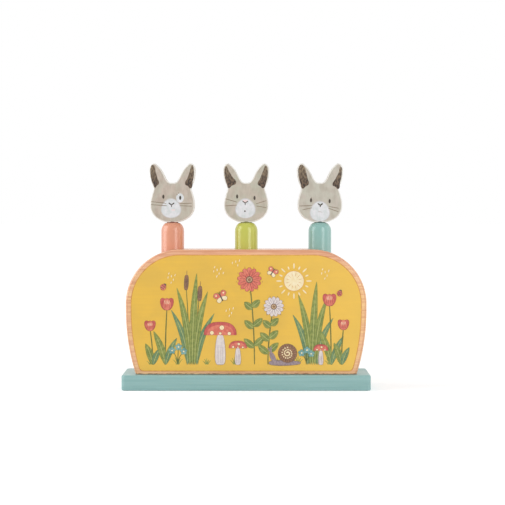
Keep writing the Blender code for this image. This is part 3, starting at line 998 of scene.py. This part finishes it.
def bluebells(x, z, height):
    """Small blue flowers on short stems."""
    for lean, share in ((-0.4, 0.8), (0.05, 1.0), (0.45, 0.75)):
        length = share * height
        drawn("moss", x, z, 0.7, length, point=0.4, bend=lean)
        for turn, top_x, top_z in spokes(5, x + lean * length, z + length, 0):
            inked("blue", "reed", top_x, top_z, 2.2, 3.2, turn, point=0.7, swell=0.3)
        dot(garden["cream"], top_x, top_z, 1.5)


print("flowers ready")

# %% Toadstools, small animals, sun and grass
def toadstool(x, z, height, cap):
    """A cream stem under a red half-round cap with pale dots."""
    inked("white", "grey", x, z, 0.3 * cap, 0.8 * height, point=0.4, swell=-0.2)
    for side in (-0.07, 0.02, 0.08):
        pen("grey", x + side * cap, z + 1, 0.45 * height)
    inked("rose", "wine", x, z + 0.52 * height, cap, 0.62 * height, point=0.75, cut_foot=True)
    drawn("coral", x, z + 0.58 * height, 0.84 * cap, 0.48 * height, point=0.8, cut_foot=True)
    spots = ((-0.26, 0.86, 0.12), (0.05, 1.0, 0.14), (0.28, 0.84, 0.1), (0.0, 0.84, 0.08))
    for side, up, size in spots:
        inked("cream", "wine", x + side * cap, z + (up - size / 2) * height, size * cap, size * cap)


def snail(x, z, size, facing=1):
    """A snail: a long foot, two horns and a coiled shell."""
    foot_x, foot_z, length = x - 0.9 * size * facing, z + 0.1 * size, 1.9 * size
    inked("grey", "dark", foot_x, foot_z, 0.3 * size, length, 90 * facing, point=0.7, swell=0.15)
    neck_x, neck_z = x + 0.6 * size * facing, z + 0.05 * size
    drawn("grey", neck_x, neck_z, 0.3 * size, 0.75 * size, 24 * facing, point=0.6)
    horn_x, horn_z = x + 0.86 * size * facing, z + 0.7 * size
    for lean in (4, 34):
        drawn("grey", horn_x, horn_z, 0.07 * size, 0.38 * size, lean * facing, point=0.5, swell=0.3)
    shell_x, shell_z = x - 0.12 * size * facing, z + 0.68 * size
    inked("brown", "dark", shell_x, shell_z - 0.56 * size, 1.12 * size, 1.12 * size)
    for turn, start_x, start_z in spokes(22, shell_x, shell_z, 0.38 * size):
        pen("dark", start_x, start_z, 0.14 * size, turn)
    beads = 30
    for bead in range(beads):
        share = bead / beads
        reach = 0.36 * size * (1 - 0.86 * share)
        bead_x, bead_z = place_from(shell_x, shell_z, 790 * share * facing, 0, reach)
        dot(garden["cream"], bead_x, bead_z, 0.08 * size)


def ladybird(x, z, size, turn):
    """A ladybird from above."""
    head_x, head_z = place_from(x, z, turn, 0, 0.5 * size)
    dot(garden["dark"], head_x, head_z, 0.6 * size)
    inked("coral", "wine", x, z - 0.55 * size, size, 1.1 * size)
    foot_x, foot_z = place_from(x, z, turn, 0, -0.55 * size)
    drawn("dark", foot_x, foot_z, 0.1 * size, 1.1 * size, turn)
    for side, up in ((-0.24, 0.2), (0.24, 0.2), (-0.24, -0.2), (0.24, -0.2)):
        spot_x, spot_z = place_from(x, z, turn, side * size, up * size)
        dot(garden["dark"], spot_x, spot_z, 0.22 * size)


def butterfly(x, z, size, turn):
    """A butterfly from above, with its four wings open."""
    for side in (-1, 1):
        inked("coral", "brown", x, z, 0.62 * size, size, turn + 48 * side, point=0.8, swell=0.3)
        inked("cream", "brown", x, z, 0.5 * size, 0.75 * size, turn + 122 * side, point=0.8, swell=0.3)
        spot_x, spot_z = place_from(x, z, turn + 48 * side, 0, 0.68 * size)
        dot(garden["cream"], spot_x, spot_z, 0.22 * size)
        head_x, head_z = place_from(x, z, turn, 0, 0.4 * size)
        pen("dark", head_x, head_z, 0.45 * size, turn + 20 * side)
    foot_x, foot_z = place_from(x, z, turn, 0, -0.5 * size)
    drawn("dark", foot_x, foot_z, 0.16 * size, size, turn, point=0.7)


def sun(x, z, radius):
    """A pale sun with short rays, every other one longer."""
    inked("cream", "edge_line", x, z - radius, 2 * radius, 2 * radius)
    for turn, start_x, start_z in spokes(12, x, z, 0.45 * radius, first=15):
        drawn("edge_line", start_x, start_z, PEN_WIDTH, 0.4 * radius, turn)
    for ray, (turn, start_x, start_z) in enumerate(spokes(16, x, z, 1.25 * radius)):
        drawn("cream", start_x, start_z, 1.4, 3.2 if ray % 2 else 5.2, turn, point=0.7)


def pale_dashes(x, z, count):
    """A loose handful of short pale strokes."""
    for number in range(count):
        golden = 137 * number
        dash_x, dash_z = place_from(x, z, golden, 0, 2.2 * math.sqrt(number + 0.5))
        drawn("cream", dash_x, dash_z, 0.9, 2.3, 40 * math.sin(5 * golden), point=0.7)


def grass(x, z, height):
    """A tuft of five thin blades."""
    for lean, share in ((-0.7, 0.6), (0.65, 0.65), (-0.3, 0.9), (0.3, 0.8), (0.0, 1.0)):
        drawn("leaf", x + 2 * lean, z, 0.8, share * height, point=0.6, bend=lean)


print("toadstools, small animals, sun and grass ready")

# %% Plant the garden
SOIL = 9.3

reeds(-52, SOIL, 88)
reeds(64, SOIL, 80, heads=False)
for place_x, height in ((-92, 6), (-66, 8), (-38, 6), (-11, 7), (30, 6), (50, 8), (80, 7), (92, 6)):
    grass(place_x, SOIL, height)
tulip(-90, SOIL, 34, lean=-0.08, bloom=10)
tulip(-78, SOIL, 54, lean=0.03, bloom=12)
tulip(82, SOIL, 58, lean=-0.03, bloom=12)
tulip(92, SOIL, 35, lean=0.05, bloom=10)
bluebells(-66, SOIL, 17)
daisy(8, SOIL, 82, lean=-0.06, bloom=11.5, ink="coral", edge="wine")
daisy(21, SOIL, 56, lean=0.1, bloom=9.5)
toadstool(-25, SOIL, 36, 31)
toadstool(-8, SOIL, 20, 17)
snail(38, SOIL, 16, facing=-1)
bluebells(58, SOIL, 14)
toadstool(72, SOIL, 17, 14)
sun(46, 90, 9.5)
ladybird(-80, 84, 5.0, 35)
ladybird(90, 78, 4.6, 20)
butterfly(-24, 74, 7.5, -25)
butterfly(25, 98, 6.0, 30)
for place_x, place_z, count in ((-72, 92, 6), (-28, 98, 7), (-16, 60, 5), (-10, 106, 4), (76, 96, 6)):
    pale_dashes(place_x, place_z, count)
finish_sheets("garden_INK", garden, "housing", INKS)

# %% [markdown]
# ## The pegs
#
# Each peg is turned on a lathe, so in Blender it is a line spun round an axis. The shoulder is a
# quarter of an ellipse that rolls over into a small flat, where the head stands. Its dowel hole is
# open at the top and the rim at the foot is chamfered.

# %% Pegs
PEG_FLAT_RADIUS = 5.3 * MM
PEG_SHOULDER = 8.6 * MM
PEG_CHAMFER = 1.0 * MM
DOWEL_RADIUS = 3.0 * MM
SHOULDER_STEPS = 20


def peg_profile(low, high):
    """The peg's outline from the floor of its dowel hole, over the shoulder and down to its foot."""
    radius = (high.x - low.x) / 2
    hole = DOWEL_RADIUS + SEAT_GAP
    hole_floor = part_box("head_dowel_middle")[0].z - SEAT_GAP
    profile = [(0, hole_floor), (hole, hole_floor), (hole, high.z)]
    for step in range(SHOULDER_STEPS + 1):
        angle = math.pi / 2 * (1 - step / SHOULDER_STEPS)
        out = PEG_FLAT_RADIUS + (radius - PEG_FLAT_RADIUS) * math.cos(angle)
        profile.append((out, high.z - PEG_SHOULDER + PEG_SHOULDER * math.sin(angle)))
    profile += [
        (radius, low.z + PEG_CHAMFER),
        (radius - PEG_CHAMFER, low.z),
        (0, low.z),
    ]
    return profile


for side in SIDES:
    peg_low, peg_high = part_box("peg_" + side)
    peg = turn("turned_peg_" + side, peg_profile(peg_low, peg_high), peg_places[side], steps=128)
    fit(peg, "rabbit_" + side, LACQUERS[side], ["peg_" + side])

# %% [markdown]
# ## The dowels and the painted shadow under the chin
#
# A birch dowel joins each head to its peg. Where the chin meets the peg's flat, the photograph shows
# a thin dark line as wide as that flat: the shadow in the gap, in a deep shade of the lacquer. A
# small turned disc in that dark tone paints the shadow there and closes the gap.

# %% Dowels and painted shadow discs
DOWEL_CHAMFER = 0.5 * MM
SHADOW_DISC_RADIUS = 5.5 * MM
SHADOW_DISC_HEIGHT = 1.15 * MM
SHADOW_DISC_SLOPE = 0.3 * MM
SHADOW_DISC_HOLE = DOWEL_RADIUS + 0.1 * MM
SHADOW_DISC_TONES = {
    "left": ((100, 54, 42), (126, 70, 54)),
    "middle": ((98, 98, 34), (122, 120, 46)),
    "right": ((52, 76, 72), (70, 96, 90)),
}

for side in SIDES:
    body = "rabbit_" + side
    low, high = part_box("head_dowel_" + side)
    profile = eased_disc(DOWEL_RADIUS, low.z, high.z, DOWEL_CHAMFER)
    dowel = turn("dowel_" + side, profile, peg_places[side], steps=48)
    fit(dowel, body, BIRCH, ["head_dowel_" + side])
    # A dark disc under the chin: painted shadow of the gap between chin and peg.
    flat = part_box("peg_" + side)[1].z
    profile = [
        (SHADOW_DISC_HOLE, flat + SHADOW_DISC_HEIGHT),
        (SHADOW_DISC_RADIUS - SHADOW_DISC_SLOPE, flat + SHADOW_DISC_HEIGHT),
        (SHADOW_DISC_RADIUS, flat),
        (SHADOW_DISC_HOLE, flat),
        (SHADOW_DISC_HOLE, flat + SHADOW_DISC_HEIGHT),
    ]
    joint = turn("glue_joint_" + side, profile, peg_places[side], steps=64)
    tone = watercolour("glue in the joint, " + side, *SHADOW_DISC_TONES[side], blotch=1.0 * MM)
    fit(joint, body, tone)

# %% [markdown]
# ## The heads
#
# One curve through a few points draws half the outline, chin to ears, and its mirror image the other
# half. Blender's automatic handles round it. Turned into a mesh it becomes a face that we extrude
# to the thickness of the plywood, and a fine bevel softens the cut edge.

# %% Head outline
HEAD_EASE = 0.9 * MM
HEAD_HALF_WIDTH = 22.2 * MM
OUTLINE_SHARES = (
    (0.0, 0.0), (0.57, 0.046), (0.897, 0.165), (0.973, 0.310), (0.899, 0.465), (0.827, 0.580),
    (0.937, 0.690), (1.0, 0.830), (0.985, 0.935), (0.800, 1.0), (0.655, 0.9635), (0.498, 0.896),
    (0.372, 0.8125), (0.260, 0.727), (0.143, 0.679), (0.0, 0.672),
)


def smooth_outline(name, points, y, steps=10):
    """A closed, rounded line through points (x, z), filled with one face."""
    bpy.ops.curve.primitive_bezier_circle_add()
    line_object = bpy.context.object
    curve = line_object.data
    curve.resolution_u = steps
    spline = curve.splines[0]
    spline.bezier_points.add(len(points) - len(spline.bezier_points))
    for knot, (x, z) in zip(spline.bezier_points, points):
        knot.co = (x, y, z)
        knot.handle_left_type = "AUTO"
        knot.handle_right_type = "AUTO"
    only(line_object)
    bpy.ops.object.convert(target="MESH")
    piece = named(name)
    edit(piece, "VERT")
    select_everything()
    bpy.ops.mesh.remove_doubles(threshold=WELD)
    bpy.ops.mesh.edge_face_add()
    return piece


def head_points(side):
    """The outline's points at the place of one head."""
    low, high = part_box("rabbit_head_" + side)
    right = [(x * HEAD_HALF_WIDTH, low.z + z * (high.z - low.z)) for x, z in OUTLINE_SHARES]
    left = [(-x, z) for x, z in reversed(right[1:-1])]
    return [(peg_places[side] + x, z) for x, z in right + left]


for side in SIDES:
    low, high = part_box("rabbit_head_" + side)
    head = smooth_outline("head_" + side, head_points(side), low.y)
    extrude((0, high.y - low.y, 0))
    close_edit()
    outward(head)
    edit(head, "EDGE")
    pick("edges", on_rim)
    round_off(HEAD_EASE, steps=5)
    close_edit()
    fit(head, "rabbit_" + side, PLYWOOD, ["rabbit_head_" + side])

# %% [markdown]
# ## The print on the heads
#
# The warm grey print has the head's own outline, set in by a millimetre. Blender's inset operator
# draws that smaller outline inside the face. We keep the inner face and throw the ring away. The
# plain back carries the same print without a face.

# %% Grey print on the heads
PRINT_RIM = 1.0 * MM
HEAD_PRINT_PROUD = 0.02 * MM

for side in SIDES:
    low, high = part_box("rabbit_head_" + side)
    for face_name, face_y, outward_y in (("front", low.y, -1), ("back", high.y, 1)):
        start_y = face_y + outward_y * HEAD_PRINT_PROUD
        coat = smooth_outline(f"head_print_{face_name}_{side}", head_points(side), start_y)
        bpy.ops.mesh.select_mode(type="FACE")
        select_everything()
        bpy.ops.mesh.inset(thickness=PRINT_RIM, depth=0)
        bpy.ops.mesh.select_all(action="INVERT")
        bpy.ops.mesh.delete(type="FACE")
        select_everything()
        depth = -outward_y * (SUNK + HEAD_PRINT_PROUD)
        extrude((0, depth, 0))
        close_edit()
        fit(coat, "rabbit_" + side, HEAD_PRINTS[side])

# %% [markdown]
# ## The faces
#
# All three rabbits have dark insides to their ears, a white muzzle, small oval eyes, a nose and fine
# whiskers, but each is drawn a little differently. The numbers count from the chin, in millimetres:
# x to the right and z up.

# %% Inks of the faces
def ear_ink():
    """Dark brown that gets lighter towards the tip of the ear."""
    material, start = new_finish("ear ink")
    fibres = speckle(start, (1.5 * MM, 1 * MM, 2.8 * MM), detail=3.0).between(0.42, 0.58)
    low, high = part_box("rabbit_head_middle")
    height = (place_on(start, "Z") - low.z) * (1 / (high.z - low.z))
    base = height.between(0.58, 1.0).mixed(colour(44, 33, 28), colour(100, 84, 68))
    streak = height.between(0.58, 1.0).mixed(colour(132, 106, 84), colour(166, 148, 120))
    return finished(material, (fibres * 0.62).mixed(base, streak), 0.6)


FACE_INKS = {
    "ear": ear_ink(),
    "halo": watercolour("muzzle edge ink", (200, 196, 196), (212, 208, 206), blotch=3 * MM),
    "white": watercolour("muzzle ink", (206, 213, 212), (236, 234, 238), blotch=4 * MM),
    "line": watercolour("whisker ink", (118, 102, 82), (148, 130, 108), upright=False),
    "dark": watercolour("eye ink", (52, 44, 36), (76, 66, 54)),
    "pink": watercolour("pink ink", (236, 210, 208), (242, 226, 224)),
}

EARS = {
    "left": (
        ((-21.0, 53.6), (-21.4, 48.0), (-20.4, 41.5), (-18.7, 37.0), (-16.9, 33.9), (-15.2, 35.8),
         (-13.2, 37.8), (-14.6, 43.5), (-16.4, 50.0), (-17.6, 55.0), (-19.5, 56.2)),
        ((19.3, 56.0), (20.6, 52.0), (21.0, 47.0), (19.9, 41.0), (17.6, 33.2), (15.2, 35.3),
         (12.4, 37.2), (14.8, 43.5), (17.0, 50.0), (18.4, 54.6)),
    ),
    "middle": (
        ((-19.9, 54.8), (-21.2, 51.5), (-21.3, 47.0), (-20.2, 41.0), (-18.7, 36.8), (-17.4, 33.6),
         (-14.0, 35.8), (-9.9, 38.4), (-13.8, 44.8), (-17.4, 51.0)),
        ((19.3, 55.0), (20.7, 51.0), (20.9, 46.0), (19.6, 40.0), (16.3, 33.4), (13.9, 35.2),
         (11.3, 37.0), (13.6, 43.0), (16.4, 50.0)),
    ),
    "right": (
        ((-18.6, 56.2), (-20.8, 53.5), (-21.3, 48.0), (-20.3, 41.5), (-18.8, 37.0), (-17.2, 33.0),
         (-14.2, 35.0), (-11.2, 37.2), (-12.2, 43.0), (-13.8, 49.5), (-15.4, 54.0)),
        ((20.2, 54.0), (21.1, 49.0), (20.8, 44.5), (19.4, 39.0), (17.7, 32.6), (15.0, 34.6),
         (12.2, 36.4), (15.0, 42.5), (18.2, 49.0)),
    ),
}
print("face inks and the insides of", 2 * len(EARS), "ears ready")

# %% Draw the faces
def muzzle(sheets, x, z, width, height):
    """A white muzzle that fades out at its edge."""
    dot(sheets["halo"], x, z, width, height, swell=-0.16)
    dot(sheets["white"], x, z - 0.2, width - 1.6, height - 1.5, swell=-0.16)


def nose(sheets, x, z, width, thickness):
    """A small V with a short stem."""
    for end_x in (x - width / 2, x + width / 2):
        line(sheets["dark"], x, z, end_x, z + 0.38 * width, thickness)
    line(sheets["dark"], x, z + 0.5, x, z - 0.35 * width, 0.8 * thickness)


def draw_face(side, sheets):
    """The marks of one rabbit's face."""
    white, dark, line_ink, pink = (sheets[ink] for ink in ("white", "dark", "line", "pink"))
    if side == "left":
        muzzle(sheets, -1.3, 13.9, 19.8, 19.4)
        dot(white, 7.4, 23.9, 7.5, 9.0)
        eyes = ((-8.8, 25.1), (7.6, 24.0))
        nose(sheets, -0.9, 17.0, 5.6, 1.15)
        line(pink, -0.8, 12.2, 2.8, 12.2, 1.3)
        for x, z, turn in ((5.3, 26.6, -45), (6.4, 27.8, -24)):
            mark(line_ink, x, z, 0.5, 1.8, turn, point=0.5)
        whiskers = ((-20.8, 20.4, -5.9, 18.6), (-21.0, 17.4, -5.2, 16.2),
                    (6.8, 18.2, 19.2, 18.8), (7.0, 16.3, 19.2, 15.9))
    elif side == "middle":
        muzzle(sheets, -0.8, 13.8, 19.8, 19.8)
        eyes = ((-8.9, 25.3), (8.1, 23.9))
        mark(pink, -1.0, 19.0, 4.6, 3.2, point=0.8, swell=0.5)
        nose(sheets, -1.0, 18.9, 5.4, 0.95)
        dot(dark, -1.3, 11.0, 1.5, 1.7)
        whiskers = ((-20.2, 23.0, -9.0, 19.8), (-20.6, 16.2, -9.2, 16.9),
                    (9.4, 18.1, 19.6, 21.3), (9.8, 16.1, 19.6, 14.4))
    else:
        muzzle(sheets, -0.2, 11.0, 19.6, 20.4)
        eyes = ((-8.9, 21.6), (9.3, 20.8))
        nose(sheets, 0.2, 16.7, 4.8, 1.35)
        line(sheets["halo"], -1.9, 10.6, 2.1, 10.6, 1.0, bend=0.2)
        mark(line_ink, -8.5, 23.2, 0.5, 1.4, 12, point=0.5)
        whiskers = ((-20.6, 16.0, -7.8, 16.5), (-17.2, 12.3, -7.8, 14.3),
                    (8.4, 15.6, 18.2, 13.8), (8.0, 13.9, 18.0, 10.4))
    for x, z in eyes:
        dot(dark, x, z, 2.1, 4.1)
    for whisker in whiskers:
        line(line_ink, *whisker, 0.65)


for side in SIDES:
    body = "rabbit_" + side
    low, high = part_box("rabbit_head_" + side)
    origin = (peg_places[side], low.y + PROUD - HEAD_PRINT_PROUD, low.z)
    face_sheets = new_sheets(FACE_INKS, origin)
    draw_face(side, face_sheets)
    for number, outline in enumerate(EARS[side], start=1):
        points = [(origin[0] + x * MM, origin[2] + z * MM) for x, z in outline]
        ear = smooth_outline(f"ear_{number}_{side}", points, low.y - HEAD_PRINT_PROUD - INK_STEP)
        depth = SUNK + HEAD_PRINT_PROUD
        extrude((0, depth, 0))
        close_edit()
        fit(ear, body, FACE_INKS["ear"])
    finish_sheets("face_INK_" + side, face_sheets, body, FACE_INKS)

# %% [markdown]
# ## The springs
#
# A spring is one wire: an inner ring that its washer holds down, a flat spiral outwards, open coils
# up to the peg, and a flat last turn. A curve with a round bevel draws it as one tube.

# %% Springs
COIL_RADIUS = 9.0 * MM
RING_RADIUS = 4.0 * MM
RING_PITCH = 1.7 * MM
RING_TURNS = 1.0
RUN_OUT_TURNS = 0.8
OPEN_TURNS = 7.5
END_TURNS = 0.6
POINTS_PER_TURN = 32


def tube(name, points, thickness, smoothness):
    """A round wire along a line of points."""
    bpy.ops.curve.primitive_nurbs_path_add()
    wire = bpy.context.object
    wire.data.splines.clear()
    spline = wire.data.splines.new("POLY")
    spline.points.add(len(points) - 1)
    for knot, point in zip(spline.points, points):
        knot.co = (*point, 1)
    wire.data.bevel_depth = thickness / 2
    wire.data.bevel_resolution = smoothness
    wire.data.use_fill_caps = True
    only(wire)
    bpy.ops.object.convert(target="MESH")
    return named(name)


def round_axis(x, radius, angle, height):
    """A point at some radius and angle round the upright axis at x."""
    return x + radius * math.cos(angle), radius * math.sin(angle), height


def spring_line(x):
    """Points along the middle of the wire."""
    inner = RING_TURNS + RUN_OUT_TURNS
    ring_end = RING_RADIUS + RING_PITCH * RING_TURNS
    climb = spring_high.z - spring_low.z - SPRING_WIRE
    turns = inner + OPEN_TURNS + END_TURNS
    count = round(turns * POINTS_PER_TURN)
    points = []
    for index in range(count + 1):
        at = turns * index / count
        out = min(1.0, max(0.0, (at - RING_TURNS) / RUN_OUT_TURNS))
        radius = RING_RADIUS + RING_PITCH * min(at, RING_TURNS) + (COIL_RADIUS - ring_end) * out
        share = min(1.0, max(0.0, (at - inner) / OPEN_TURNS))
        angle = math.tau * at
        height = spring_low.z + SPRING_WIRE / 2 + climb * share
        points.append(round_axis(x, radius, angle, height))
    return points


press_joint = next(joint for joint in frame["joints"] if joint["name"] == "press_middle")
press_travel = max(abs(end) for end in press_joint["range_m"])
spring_height = spring_high.z - spring_low.z
for side in SIDES:
    spring = tube("coil_spring_" + side, spring_line(peg_places[side]), SPRING_WIRE, smoothness=3)
    fit(spring, "housing", SPRING_STEEL, ["spring_" + side], angle=60)
    1 - press_travel / spring_height
    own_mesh(spring)

# %% [markdown]
# ## Screws and washers
#
# They hardly show, but someone who turns the toy over sees four countersunk heads with a cross
# recess. The same recess is cut into the round heads at the bottom of the bores. The thread is a
# thin wire wound up the shank and joined to it.

# %% Screws and washers
RECESS_WIDTH = 0.9 * MM
RECESS_TAPER = 0.8
THREAD_PITCH = 1.4 * MM
THREAD_WIDTH = 0.3 * MM
BARE_SHANK = 12.8 * MM
THREAD_POINTS = 16
WASHER_HOLE = 1.8 * MM
SPRING_SCREW_RADIUS = 1.5 * MM
SPRING_SCREW_HEAD = 3.1 * MM
SPRING_SCREW_DOME = 2.1 * MM
SPRING_SCREW_NECK = 3.0 * MM
DOME_STEPS = 8
WASHER_EASE = 0.15 * MM
POINT_LENGTH = 3.0 * MM


def cross_recess(piece, x, z, reach, depth):
    """Cut a cross into a screw's head, about a point on its face."""
    for size in ((2 * reach, RECESS_WIDTH, 2 * depth), (RECESS_WIDTH, 2 * reach, 2 * depth)):
        cutter = brick("recess cutter", (x, 0, z), size)
        edit(cutter)
        pick("faces", lambda face: abs(face.normal.z) > 0.5)
        bpy.ops.transform.resize(value=(RECESS_TAPER, RECESS_TAPER, 1))
        close_edit()
        cut(piece, cutter)


def add_thread(screw, x, low, high, radius):
    """Wind a ridge round a screw's shank and join it to the screw."""
    count = int((high - low) / THREAD_PITCH * THREAD_POINTS)
    points = []
    for index in range(count + 1):
        angle = math.tau * index / THREAD_POINTS
        points.append(round_axis(x, radius, angle, low + (high - low) * (index / count)))
    ridge = tube("thread", points, THREAD_WIDTH, smoothness=0)
    only(screw)
    ridge.select_set(True)
    bpy.ops.object.join()


for node, place in screw_places.items():
    low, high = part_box(node)
    profile = [
        (0, high.z),
        (SCREW_RADIUS, high.z - POINT_LENGTH),
        (SCREW_RADIUS, low.z + SCREW_HEAD_HEIGHT),
        (SCREW_HEAD_RADIUS, low.z),
        (0, low.z),
    ]
    screw = turn("countersunk_" + node, profile, place, steps=48)
    cross_recess(screw, place, low.z, reach=2.1 * MM, depth=1.3 * MM)
    add_thread(screw, place, low.z + BARE_SHANK, high.z - POINT_LENGTH, SCREW_RADIUS)
    fit(screw, "housing", ZINC, [node])

for side in SIDES:
    place = peg_places[side]
    low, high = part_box("spring_washer_" + side)
    profile = eased_disc((high.x - low.x) / 2, low.z, high.z, WASHER_EASE, hole=WASHER_HOLE)
    washer = turn("washer_" + side, profile, place, steps=64)
    fit(washer, "housing", ZINC, ["spring_washer_" + side])
    low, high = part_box("spring_screw_" + side)
    seat = high.z - SPRING_SCREW_DOME
    profile = []
    for step in range(DOME_STEPS + 1):
        angle = math.pi / 2 * (1 - step / DOME_STEPS)
        height = seat + SPRING_SCREW_DOME * math.sin(angle)
        profile.append((SPRING_SCREW_HEAD * math.cos(angle), height))
    profile += [(SPRING_SCREW_RADIUS, seat), (SPRING_SCREW_RADIUS, low.z + POINT_LENGTH), (0, low.z)]
    screw = turn("round_head_" + side, profile, place, steps=48)
    cross_recess(screw, place, high.z, reach=1.8 * MM, depth=1.2 * MM)
    add_thread(screw, place, low.z + POINT_LENGTH, seat - SPRING_SCREW_NECK, SPRING_SCREW_RADIUS)
    fit(screw, "housing", ZINC, ["spring_screw_" + side])

# %% [markdown]
# ## White floor and soft light
#
# The photograph has a white ground with the faintest shadow. The floor is a real diffuse surface, so
# it takes that shadow, and it glows a little for camera rays alone, which lifts it to white without
# lighting the toy. The world does the same: white to the camera and in reflections, softer as a
# light. Tall lamps on the left and front right draw the highlights on the pegs, and a weak one on the
# right fills their shaded side.

# %% Floor, world and lamps
WORLD_LIGHT = 0.6
FLOOR_GLOW = 0.39
FAR_GLOW = 0.2
GLOW_START = 0.2
GLOW_END = 0.8
FLOOR_WHITE = 0.8
FLOOR_SIZE = 30
CAMERA_RAY, GLOSSY_RAY, TRANSMISSION_RAY = 0, 3, 6


def seen_directly(start):
    """One for rays that show the surface itself: camera, glossy and transmission rays."""
    outputs = (CAMERA_RAY, GLOSSY_RAY, TRANSMISSION_RAY)
    camera_ray, glossy, through = (start.node("ShaderNodeLightPath", output=ray) for ray in outputs)
    return start.math("ADD", camera_ray + glossy, through, clamp=True)


bpy.ops.mesh.primitive_plane_add(size=FLOOR_SIZE, location=(0, 0, 0))
floor = named("floor")
floor_finish, start = new_finish("white floor")
across = place_on(start, "X")
along = place_on(start, "Y")
away = start.math("SQRT", across * across + along * along)
glow = seen_directly(start) * (FLOOR_GLOW + FAR_GLOW * away.between(GLOW_START, GLOW_END))
glowing = {"Specular IOR Level": 0.0, "Emission Color": glow, "Emission Strength": 1.0}
finished(floor_finish, (FLOOR_WHITE, FLOOR_WHITE, FLOOR_WHITE, 1), roughness=1.0, others=glowing)
floor.data.materials.append(floor_finish)

world = bpy.context.scene.world or bpy.data.worlds.new("studio")
bpy.context.scene.world = world
world.use_nodes = True
background = world.node_tree.nodes["Background"]
strength = WORLD_LIGHT + seen_directly(Wire(world.node_tree)) * (1 - WORLD_LIGHT)
feed(background, {"Color": (1, 1, 1, 1), "Strength": strength})

LAMPS = {
    "lamp left": {"turn": -82, "distance": 1.0, "width": 0.8, "height": 0.9, "watts": 6},
    "lamp front right": {"turn": 34, "distance": 1.2, "width": 0.5, "height": 0.9, "watts": 4.5},
    "lamp right": {"turn": 88, "distance": 1.1, "width": 0.6, "height": 0.9, "watts": 1.3},
}
LAMP_HEIGHT = 0.5
target = Vector((0, 0, 0.12))
for name, lamp in LAMPS.items():
    angle = math.radians(lamp["turn"])
    distance = lamp["distance"]
    spot = Vector((distance * math.sin(angle), -distance * math.cos(angle), LAMP_HEIGHT))
    bpy.ops.object.light_add(type="AREA", location=spot)
    light = bpy.context.object
    light.name = name
    light.rotation_euler = (target - spot).to_track_quat("-Z", "Y").to_euler()
    light.data.shape = "RECTANGLE"
    light.data.size = lamp["width"]
    light.data.size_y = lamp["height"]
    light.data.energy = lamp["watts"]
print("floor, world and", len(LAMPS), "lamps")

# %% [markdown]
# ## The end
#
# The last cell leaves nothing selected.

# %% Clear the selection
bpy.ops.object.select_all(action="DESELECT")
